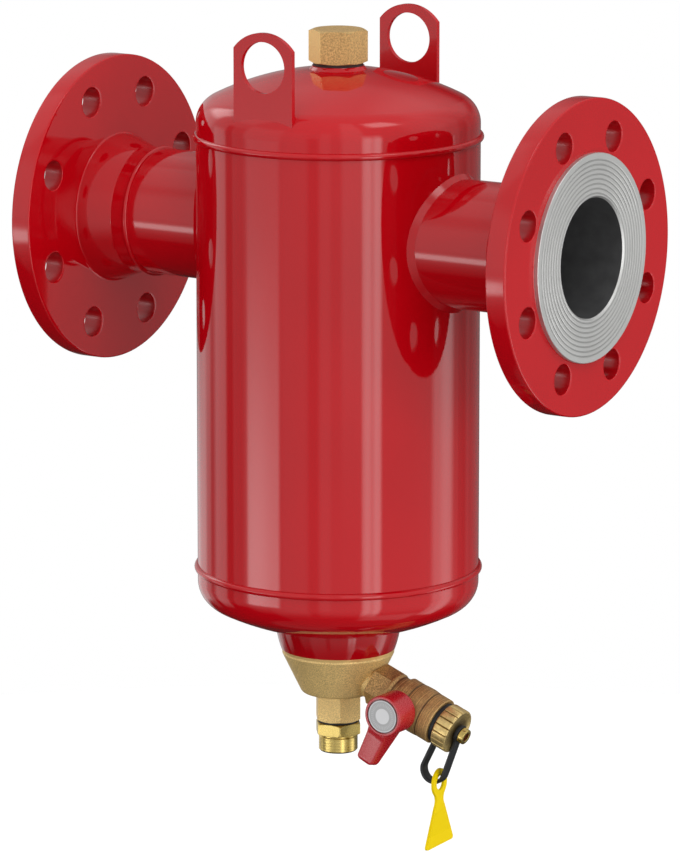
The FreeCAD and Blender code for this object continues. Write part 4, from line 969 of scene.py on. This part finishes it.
def sleeve_rows(form, angles):
    """Radii and heights of the sleeve's rows from its dome down outside and up inside: tube and
    shank are round, the hexagon is cut by its chamfer cones, and the thread's radius falls by
    depth * w(p), with p the turn's share at that angle and height."""
    flats = hexagon_radius(angles, form.flats, form.turn)
    round_row = np.ones_like(angles)
    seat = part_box("sleeve_gasket")[0].z
    hex_low = seat - form.hexagon
    stub_low = hex_low - form.stub_length
    corner = form.flats / math.sqrt(3)
    face = 0.97 * form.flats / 2
    rows, heights = [], []

    def add(profile):
        for radius, height in profile:
            rows.append(radius * round_row)
            heights.append(height)

    add(arc((0.0, form.top - form.tube), form.tube, 90, 0, 10))
    shank_top = seat + form.shank_length
    add([(form.tube, shank_top), (form.shank, shank_top), (form.shank, seat)])
    for height in np.concatenate([np.linspace(seat, seat - form.chamfer, 8),
                                  np.linspace(seat - form.chamfer, hex_low + form.chamfer, 6)[1:-1],
                                  np.linspace(hex_low + form.chamfer, hex_low, 8)]):
        from_end = min(seat - height, height - hex_low)
        cone = face + (corner - face) * min(1.0, from_end / form.chamfer)
        rows.append(np.minimum(flats, cone))
        heights.append(height)
    thread_top = hex_low - form.relief
    neck = form.stub - form.relief_depth
    add([(neck, hex_low), (neck, thread_top)])
    for height in np.linspace(thread_top, stub_low, 120)[1:]:
        phase = (height / form.pitch - angles / (2 * math.pi)) % 1.0
        flank = np.clip(np.abs(phase - 0.5) * 2.0 * 1.35 - 0.18, 0.0, 1.0)
        radius = form.stub - form.thread * flank
        limit = form.stub - form.chamfer + (height - stub_low)
        run_in = neck + 0.7 * (thread_top - height)
        rows.append(np.minimum(np.minimum(radius, limit), run_in))
        heights.append(height)
    inner_top = form.top - form.tube
    add([(form.pocket + form.mouth, stub_low), (form.pocket, stub_low + form.mouth)])
    add([(form.pocket, (stub_low + inner_top) / 2)])
    add(arc((0.0, inner_top), form.pocket, 0, 90, 8))
    return np.stack(rows), np.array(heights)


# Strap


def valve_frame():
    """Matrix from the valve's own frame, up, across and along, to the part's frame: origin on the
    vessel axis, the way along falls by the valve's tilt towards the outlet."""
    level, fall = math.cos(VALVE_TILT), math.sin(VALVE_TILT)
    matrix = np.eye(4)
    matrix[:3, 0] = (fall, 0.0, level)
    matrix[:3, 1] = (0.0, -1.0, 0.0)
    matrix[:3, 2] = (level, 0.0, -fall)
    matrix[:3, 3] = (AXIS_X, 0.0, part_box("drain_collar")[0].z - VALVE_DROP)
    return matrix


def soft_rectangle(half_width, half_height, count, power=5.0):
    """Closed curve between a rectangle and an ellipse:
    (a * |cos t|^(2/p), b * |sin t|^(2/p)) with the signs of cos t and sin t."""
    angles = even_angles(count) + math.pi / count
    cosines, sines = np.cos(angles), np.sin(angles)
    return np.stack([half_width * np.sign(cosines) * np.abs(cosines) ** (2 / power),
                     half_height * np.sign(sines) * np.abs(sines) ** (2 / power)], axis=-1)


def strap_patches(form):
    """The strap's loop, a soft rectangle carried along a line, an arc and a line, and its two
    rings, the same section carried round the valve's axis."""
    lift = valve_frame()
    half = form.thickness / 2
    leg_in = np.linspace((-form.neck_ring, form.neck_at),
                         (-form.drop, form.bend_at - form.bend), 12)
    bend_angles = np.radians(np.linspace(-90.0, 90.0, 25))[1:]
    bend = np.stack([-form.drop - form.bend * np.cos(bend_angles),
                     form.bend_at + form.bend * np.sin(bend_angles)], axis=-1)
    leg_out = np.linspace((-form.drop, form.screw_at), (-form.screw_ring, form.screw_at), 14)[1:]
    path = np.concatenate([leg_in, bend, leg_out])
    along = np.gradient(path, axis=0)
    along /= np.linalg.norm(along, axis=1)[:, None]
    section = soft_rectangle(half, form.width / 2, 40)
    sides = np.stack([along[:, 1], -along[:, 0]], axis=-1)
    points = np.empty((len(path), len(section), 3))
    points[..., 0] = path[:, None, 0] + sides[:, None, 0] * section[None, :, 0]
    points[..., 1] = section[None, :, 1]
    points[..., 2] = path[:, None, 1] + sides[:, None, 1] * section[None, :, 0]
    patches = [(moved(closed_ends(points), lift), False, True, "satin_rubber")]
    for radius, reach, station in ((form.neck_ring, form.neck_half, form.neck_at),
                                   (form.screw_ring, form.screw_half, form.screw_at)):
        ring = soft_rectangle(reach, half, 28) + np.array([radius, station])
        patches.append((moved(turned(ring, even_angles(72)), lift), True, True, "satin_rubber"))
    return patches


# Hose cap


def cap_patches(form):
    """Cap whose side radius falls by depth * (1 + cos(pi * d)) / 2 near each flute's middle, d
    being the distance from it over half the flute's width, closed by its bore."""
    angles = even_angles(form.flutes * 24)
    phase = (angles * form.flutes / (2 * math.pi)) % 1.0 - 0.5
    away = np.clip(np.abs(phase) / (form.flute_width / 2), 0.0, 1.0)
    fluted = form.radius - form.flute * (1.0 + np.cos(math.pi * away)) / 2
    face = form.start + form.height
    floor = face - form.wall
    dished = face - form.dish
    edge = form.edge
    land = form.radius - edge
    outside = outline((form.bore, form.start), (land, form.start),
                      arc((land, form.start + edge), edge, -90, 0, 5),
                      arc((land, face - edge), edge, 0, 90, 5),
                      (land - 0.0003, face), (land - 0.0008, dished),
                      (form.head, dished), (form.shank, dished))
    radii = np.minimum(outside[:, :1], fluted[None, :])
    inside = outline((form.shank, dished), (form.shank, floor), (form.bore, floor),
                     (form.bore, form.start))
    lift = valve_frame()
    return [(moved(points, lift), False, True, "fluted_cap_brass")
            for points in (carried_round(radii, outside[:, 1], angles), turned(inside, angles))]


def screw_patches(form):
    """Socket-head screw: shank and head are round, the socket is a hexagon."""
    angles = corner_angles(0.0, 12)
    hexagon = hexagon_radius(angles, form.socket, 0.0)
    low = form.start + form.height - form.wall
    top = form.head_at + form.head_height
    nick, edge = form.nick, form.head_edge
    body = outline((0.0, low), (form.shank, low), (form.shank, form.head_at),
                   (form.head - nick, form.head_at), (form.head, form.head_at + nick),
                   arc((form.head - edge, top - edge), edge, 0, 90, 4))
    rim = np.stack([np.full_like(angles, form.head - edge), hexagon + nick, hexagon])
    well = np.stack([hexagon, hexagon, 0.5 * hexagon, 0.0 * hexagon])
    floor = top - form.socket_depth
    rim_heights = [top, top, top - nick]
    well_heights = [top - nick, floor, floor - 0.0003, floor - 0.0005]
    lift = valve_frame()
    return [(moved(points, lift), False, True, finish_name) for points, finish_name in (
        (turned(body, angles), "turned_sleeve_brass"),
        (carried_round(rim, rim_heights, angles), "turned_sleeve_brass"),
        # The socket takes the dark brass: painted shade.
        (carried_round(well, well_heights, angles), "shaded_socket_brass"))]


# Lever


def lever_patches(form):
    """Hub, a profile turned about the stem's axis, and handle, a rounded four-sided section
    carried down from inside the hub: half widths and depth fall evenly to the tip, the front dips
    behind the hub's rim, and the last sections shrink with 1 - cos a in a soft end."""
    rim = form.rim
    hub = outline((form.well, form.back), (form.radius - rim / 2, form.back),
                  (form.radius, form.back + rim / 2),
                  arc((form.radius - rim, form.front - rim), rim, 0, 90, 6),
                  (form.recess, form.front), (form.recess, form.front - form.recess_depth),
                  (form.screw_room, form.front - form.recess_depth),
                  (form.screw_room, form.screw_seat), (form.screw_hole, form.screw_seat),
                  (form.screw_hole, form.socket_end), (form.socket, form.socket_end),
                  (form.socket, form.well_end), (form.well, form.well_end))
    even = 22
    ease = np.radians([25.0, 50.0, 70.0, 82.0, 90.0])
    tip_start = form.reach - form.soft_end
    drops = np.concatenate([np.linspace(form.start, tip_start, even),
                            tip_start + form.soft_end * np.sin(ease)])
    along = (drops - drops[0]) / (form.reach - drops[0])
    shrink = np.concatenate([np.zeros(even), 1.0 - np.cos(ease)])
    past_rim = np.clip((drops - 0.0122) / 0.0030, 0, 1)
    dip = 0.0004 + (0.0006 + 0.0009 * past_rim) * (1.0 - along) ** 0.7
    tip_round, tip_narrow = 0.0014, 0.0026
    front = form.front - dip - shrink * tip_round
    slope = form.front - form.tip_depth - form.well_end - 0.0006
    back = form.well_end + 0.0002 + along * slope + shrink * tip_round
    half_front = form.root + (form.tip - form.root) * along - shrink * tip_narrow
    half_back = half_front + form.flare
    corner = np.linspace(0.0, math.pi / 2, 5)
    round_by = form.handle_edge
    section = []
    for side, face, half, depth, turn in ((1, 1, half_front, front, 0.0),
                                          (-1, 1, half_front, front, 0.5),
                                          (-1, -1, half_back, back, 1.0),
                                          (1, -1, half_back, back, 1.5)):
        z = side * (half - round_by)[:, None] + round_by * np.cos(corner + turn * math.pi)
        y = (depth - face * round_by)[:, None] + round_by * np.sin(corner + turn * math.pi)
        section.append(np.stack([z, y], axis=-1))
    section = np.concatenate(section, axis=1)
    points = np.empty(section.shape[:2] + (3,))
    points[..., 0] = -drops[:, None]
    points[..., 1] = section[..., 1]
    points[..., 2] = section[..., 0]
    swing = np.array(Matrix.Rotation(-form.set_back, 4, "Y"))
    at_stem = np.eye(4)
    at_stem[2, 3] = form.at
    turned_hub = turned(hub, even_angles(72))[..., [0, 2, 1]]
    place = valve_frame() @ at_stem
    return [(moved(turned_hub, place), True, True, "lever_red"),
            (moved(closed_ends(points), place @ swing), False, True, "lever_red")]


# Operators


class SEPARATOR_OT_paint_steel(Operator):
    """Paints the vessel, nozzles, lugs, boss, collar and their welds"""
    bl_idname = "separator.paint_steel"
    bl_label = "Paint the steel"

    def execute(self, context):
        dress("gloss_red_vessel", "shell", "top_head", "bottom_head")
        dress("gloss_red_nozzle", "inlet_pipe", "outlet_pipe")
        dress("gloss_red_collar", "drain_collar")
        dress("gloss_red_paint", "front_lifting_lug", "rear_lifting_lug", "vent_boss",
              *(node for node in NODES if SLOT_OF[node] == "weld_paint"))
        return {"FINISHED"}


class SEPARATOR_OT_flanges(Operator):
    """Makes both flanges with their turned gasket faces"""
    bl_idname = "separator.flanges"
    bl_label = "Flanges"

    def execute(self, context):
        patches = flange_patches(context.scene.separator_flange)
        for side, sign in (("inlet", -1.0), ("outlet", 1.0)):
            place = np.array([[0, 0, sign, AXIS_X], [0, 1, 0, 0], [-sign, 0, 0, 0], [0, 0, 0, 1.0]])
            placed = [(moved(points, place), *rest) for points, *rest in patches]
            piece(f"{side}_flange_turned", placed, "separator", [f"{side}_flange"])
        return {"FINISHED"}


class SEPARATOR_OT_castings(Operator):
    """Finishes the vent plug, the drain bowl and the drain valve"""
    bl_idname = "separator.castings"
    bl_label = "Castings"

    def execute(self, context):
        dress("sand_cast_plug_brass", "vent_plug")
        dress("blasted_bowl_brass", "drain_bowl")
        dress("rough_valve_bronze", "valve_end_piece", "valve_body")
        dress("pressed_fibre", "vent_gasket")
        dress("zinc_plate", "stem", "gland_nut", "lever_screw")
        dress("chromed_ball", "ball")
        dress("seat_white", "inlet_ball_seat", "outlet_ball_seat", "stem_packing")
        return {"FINISHED"}


class SEPARATOR_OT_magnet_sleeve(Operator):
    """Makes the sleeve with its threaded stub and finishes the magnet rod"""
    bl_idname = "separator.magnet_sleeve"
    bl_label = "Magnet sleeve"

    def execute(self, context):
        form = context.scene.separator_sleeve
        angles = corner_angles(form.turn, 22)
        radii, heights = sleeve_rows(form, angles)
        points = carried_round(radii, heights, angles) + np.array([AXIS_X, 0.0, 0.0])
        piece("magnet_sleeve_turned", [(points, False, True, "turned_sleeve_brass")],
              "separator", ["magnet_sleeve"])
        dress("drawn_inner_steel", "magnet_rod", "magnet_spacers")
        dress("plated_magnet", "magnets")
        return {"FINISHED"}


class SEPARATOR_OT_lever(Operator):
    """Makes the lever and finishes its disc"""
    bl_idname = "separator.lever"
    bl_label = "Lever"

    def execute(self, context):
        piece("lever_moulded", lever_patches(context.scene.separator_lever), "lever",
              ["lever"])
        dress("ringed_disc_grey", "lever_disc")
        return {"FINISHED"}


class SEPARATOR_OT_cap(Operator):
    """Makes the fluted hose cap and its screw"""
    bl_idname = "separator.cap"
    bl_label = "Hose cap"

    def execute(self, context):
        form = context.scene.separator_cap
        piece("drain_cap_fluted", cap_patches(form), "cap", ["drain_cap"])
        piece("cap_screw_turned", screw_patches(form), "cap", ["cap_screw"])
        return {"FINISHED"}


class SEPARATOR_OT_strap_and_tag(Operator):
    """Makes the rubber strap and finishes the tag"""
    bl_idname = "separator.strap_and_tag"
    bl_label = "Strap and tag"

    def execute(self, context):
        piece("cap_strap_moulded", strap_patches(context.scene.separator_strap), "separator",
              ["cap_strap"])
        dress("tag_yellow", "tag")
        return {"FINISHED"}


class SEPARATOR_OT_inside(Operator):
    """Finishes the seals and the separating element"""
    bl_idname = "separator.inside"
    bl_label = "Inside"

    def execute(self, context):
        dress("satin_rubber", "bowl_seal", "sleeve_gasket", "cap_gasket")
        dress("element_grey", "mesh_element")
        dress("drawn_inner_steel", "element_support")
        return {"FINISHED"}


class SEPARATOR_OT_stage(Operator):
    """Sets the floor, the world, the lamps and the camera"""
    bl_idname = "separator.stage"
    bl_label = "Studio"

    def execute(self, context):
        form = context.scene.separator_stage
        self.lay_floor(form)
        self.light_room(context, form)
        for lamp in LAMPS:
            self.hang_lamp(*lamp)
        self.set_camera(context, form)
        context.scene.view_settings.view_transform = "Standard"
        return {"FINISHED"}

    def lay_floor(self, form):
        """Round pale floor that shows white to the camera and keeps the shadow. The pieces see the
        room below it instead, as if they hung there."""
        radii = np.array([0.0, 0.4, 1.0, form.floor_radius])
        points = carried_round(radii[:, None], np.full(4, form.floor), even_angles(96))
        points = points + np.array([AXIS_X, 0.0, 0.0])
        mesh = bpy.data.meshes.new("studio_floor")
        mesh.from_pydata(points.reshape(-1, 3).tolist(), [],
                         quads(4, 96, False, True)[:, ::-1].tolist())
        floor = bpy.data.objects.new("studio_floor", mesh)
        bpy.context.scene.collection.objects.link(floor)
        material, graph = new_finish("pale_floor")
        seen = graph.node("ShaderNodeLightPath", None, None, "Is Camera Ray")
        matt = graph.node("ShaderNodeBsdfDiffuse", None, {"Color": rgba(form.floor_shown)})
        glow = graph.node("ShaderNodeEmission", None, {"Strength": seen * form.floor_glow})
        graph.end("ShaderNodeOutputMaterial",
                  graph.node("ShaderNodeAddShader", None, {0: matt, 1: glow}))
        mesh.materials.append(material)
        for way in ("diffuse", "glossy", "transmission", "shadow"):
            setattr(floor, "visible_" + way, False)

    def light_room(self, context, form):
        """Light by direction: walls at one level, dimmer below and above, with the soft boxes of
        ROOM_BOXES added between two azimuths and two elevations. The camera sees plain white."""
        world = bpy.data.worlds.new("studio_room")
        context.scene.world = world
        world.use_nodes = True
        graph = Graph(world.node_tree)
        way = graph.split(graph.node("ShaderNodeTexCoord", None, None, "Generated"))
        azimuth = way[0].maths("ARCTAN2", way[1] * -1.0) * math.degrees(1.0)
        elevation = way[2].maths("ARCSINE") * math.degrees(1.0)
        low = graph.smooth_step(elevation, *LOW_RISE) * (1.0 - form.room_low) + form.room_low
        behind = graph.smooth_step(azimuth.maths("ABSOLUTE"), *BEHIND)
        crown = graph.smooth_step(elevation, *CROWN_RISE) * form.room_crown + form.room_back
        level = low * ((1.0 - behind) * form.room + behind * crown)
        for turn_low, turn_high, turn_soft, rise_low, rise_high, rise_soft, added in ROOM_BOXES:
            inside = (graph.between(azimuth, turn_low, turn_high, turn_soft)
                      * graph.between(elevation, rise_low, rise_high, rise_soft))
            level = level + inside * added
        path = graph.node("ShaderNodeLightPath", None, None, "Is Camera Ray")
        sharp = path.output("Is Glossy Ray").maths("MAXIMUM", path.output("Is Transmission Ray"))
        level = level.maths("MAXIMUM", 0.02) * (sharp * (1.0 - form.room_fill) + form.room_fill)
        level = level * (1.0 - path) + path
        light = graph.node("ShaderNodeBackground", None, {"Color": (1, 1, 1, 1), "Strength": level})
        graph.end("ShaderNodeOutputWorld", light)

    def hang_lamp(self, name, place, size, energy):
        """Square lamp that faces the vessel and shows in no mirror."""
        lamp = bpy.data.lights.new(name, "AREA")
        lamp.size = size
        lamp.energy = energy
        hung = bpy.data.objects.new(name, lamp)
        hung.location = place
        away = hung.location - Vector(LAMP_AIM)
        hung.rotation_euler = away.to_track_quat("Z", "Y").to_euler()
        hung.visible_camera = False
        hung.visible_glossy = False
        bpy.context.scene.collection.objects.link(hung)

    def set_camera(self, context, form):
        """Camera at the photograph's place, looking level across its two angles."""
        camera = bpy.data.objects.new("photo_camera", bpy.data.cameras.new("photo_camera"))
        camera.data.lens = form.lens
        camera.data.sensor_width = 36.0
        camera.data.clip_end = 50.0
        camera.location = form.camera
        camera.rotation_euler = (math.pi / 2 - form.elevation, 0.0, form.azimuth)
        context.scene.collection.objects.link(camera)
        context.scene.camera = camera


class SEPARATOR_PT_sidebar(Panel):
    """Lists the separator's sizes, colours and steps"""
    bl_idname = "SEPARATOR_PT_sidebar"
    bl_label = "Dirt separator"
    bl_space_type = "VIEW_3D"
    bl_region_type = "UI"
    bl_category = "Separator"

    def draw(self, context):
        for operator in OPERATORS:
            self.layout.operator(operator.bl_idname)
        for name in GROUPS:
            group = getattr(context.scene, name)
            box = self.layout.box()
            box.label(text=name.replace("separator_", "").capitalize())
            for prop in group.bl_rna.properties:
                if prop.identifier not in ("name", "rna_type"):
                    box.prop(group, prop.identifier)


GROUPS = {
    "separator_steel": SteelLook,
    "separator_brass": BrassLook,
    "separator_plastic": PlasticLook,
    "separator_flange": FlangeForm,
    "separator_sleeve": SleeveForm,
    "separator_strap": StrapForm,
    "separator_lever": LeverForm,
    "separator_cap": CapForm,
    "separator_stage": StageForm,
}
OPERATORS = (
    SEPARATOR_OT_paint_steel,
    SEPARATOR_OT_flanges,
    SEPARATOR_OT_castings,
    SEPARATOR_OT_magnet_sleeve,
    SEPARATOR_OT_lever,
    SEPARATOR_OT_cap,
    SEPARATOR_OT_strap_and_tag,
    SEPARATOR_OT_inside,
    SEPARATOR_OT_stage,
)


def register():
    """Registers the groups, the operators and the panel."""
    for name, group in GROUPS.items():
        bpy.utils.register_class(group)
        setattr(bpy.types.Scene, name, PointerProperty(type=group))
    for operator in OPERATORS:
        bpy.utils.register_class(operator)
    bpy.utils.register_class(SEPARATOR_PT_sidebar)


def unregister():
    """Takes everything back out."""
    bpy.utils.unregister_class(SEPARATOR_PT_sidebar)
    for operator in reversed(OPERATORS):
        bpy.utils.unregister_class(operator)
    for name, group in GROUPS.items():
        delattr(bpy.types.Scene, name)
        bpy.utils.unregister_class(group)


def main():
    """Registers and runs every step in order."""
    register()
    bpy.ops.separator.paint_steel()
    bpy.ops.separator.flanges()
    bpy.ops.separator.castings()
    bpy.ops.separator.magnet_sleeve()
    bpy.ops.separator.lever()
    bpy.ops.separator.cap()
    bpy.ops.separator.strap_and_tag()
    bpy.ops.separator.inside()
    bpy.ops.separator.stage()


if __name__ == "__main__":
    main()
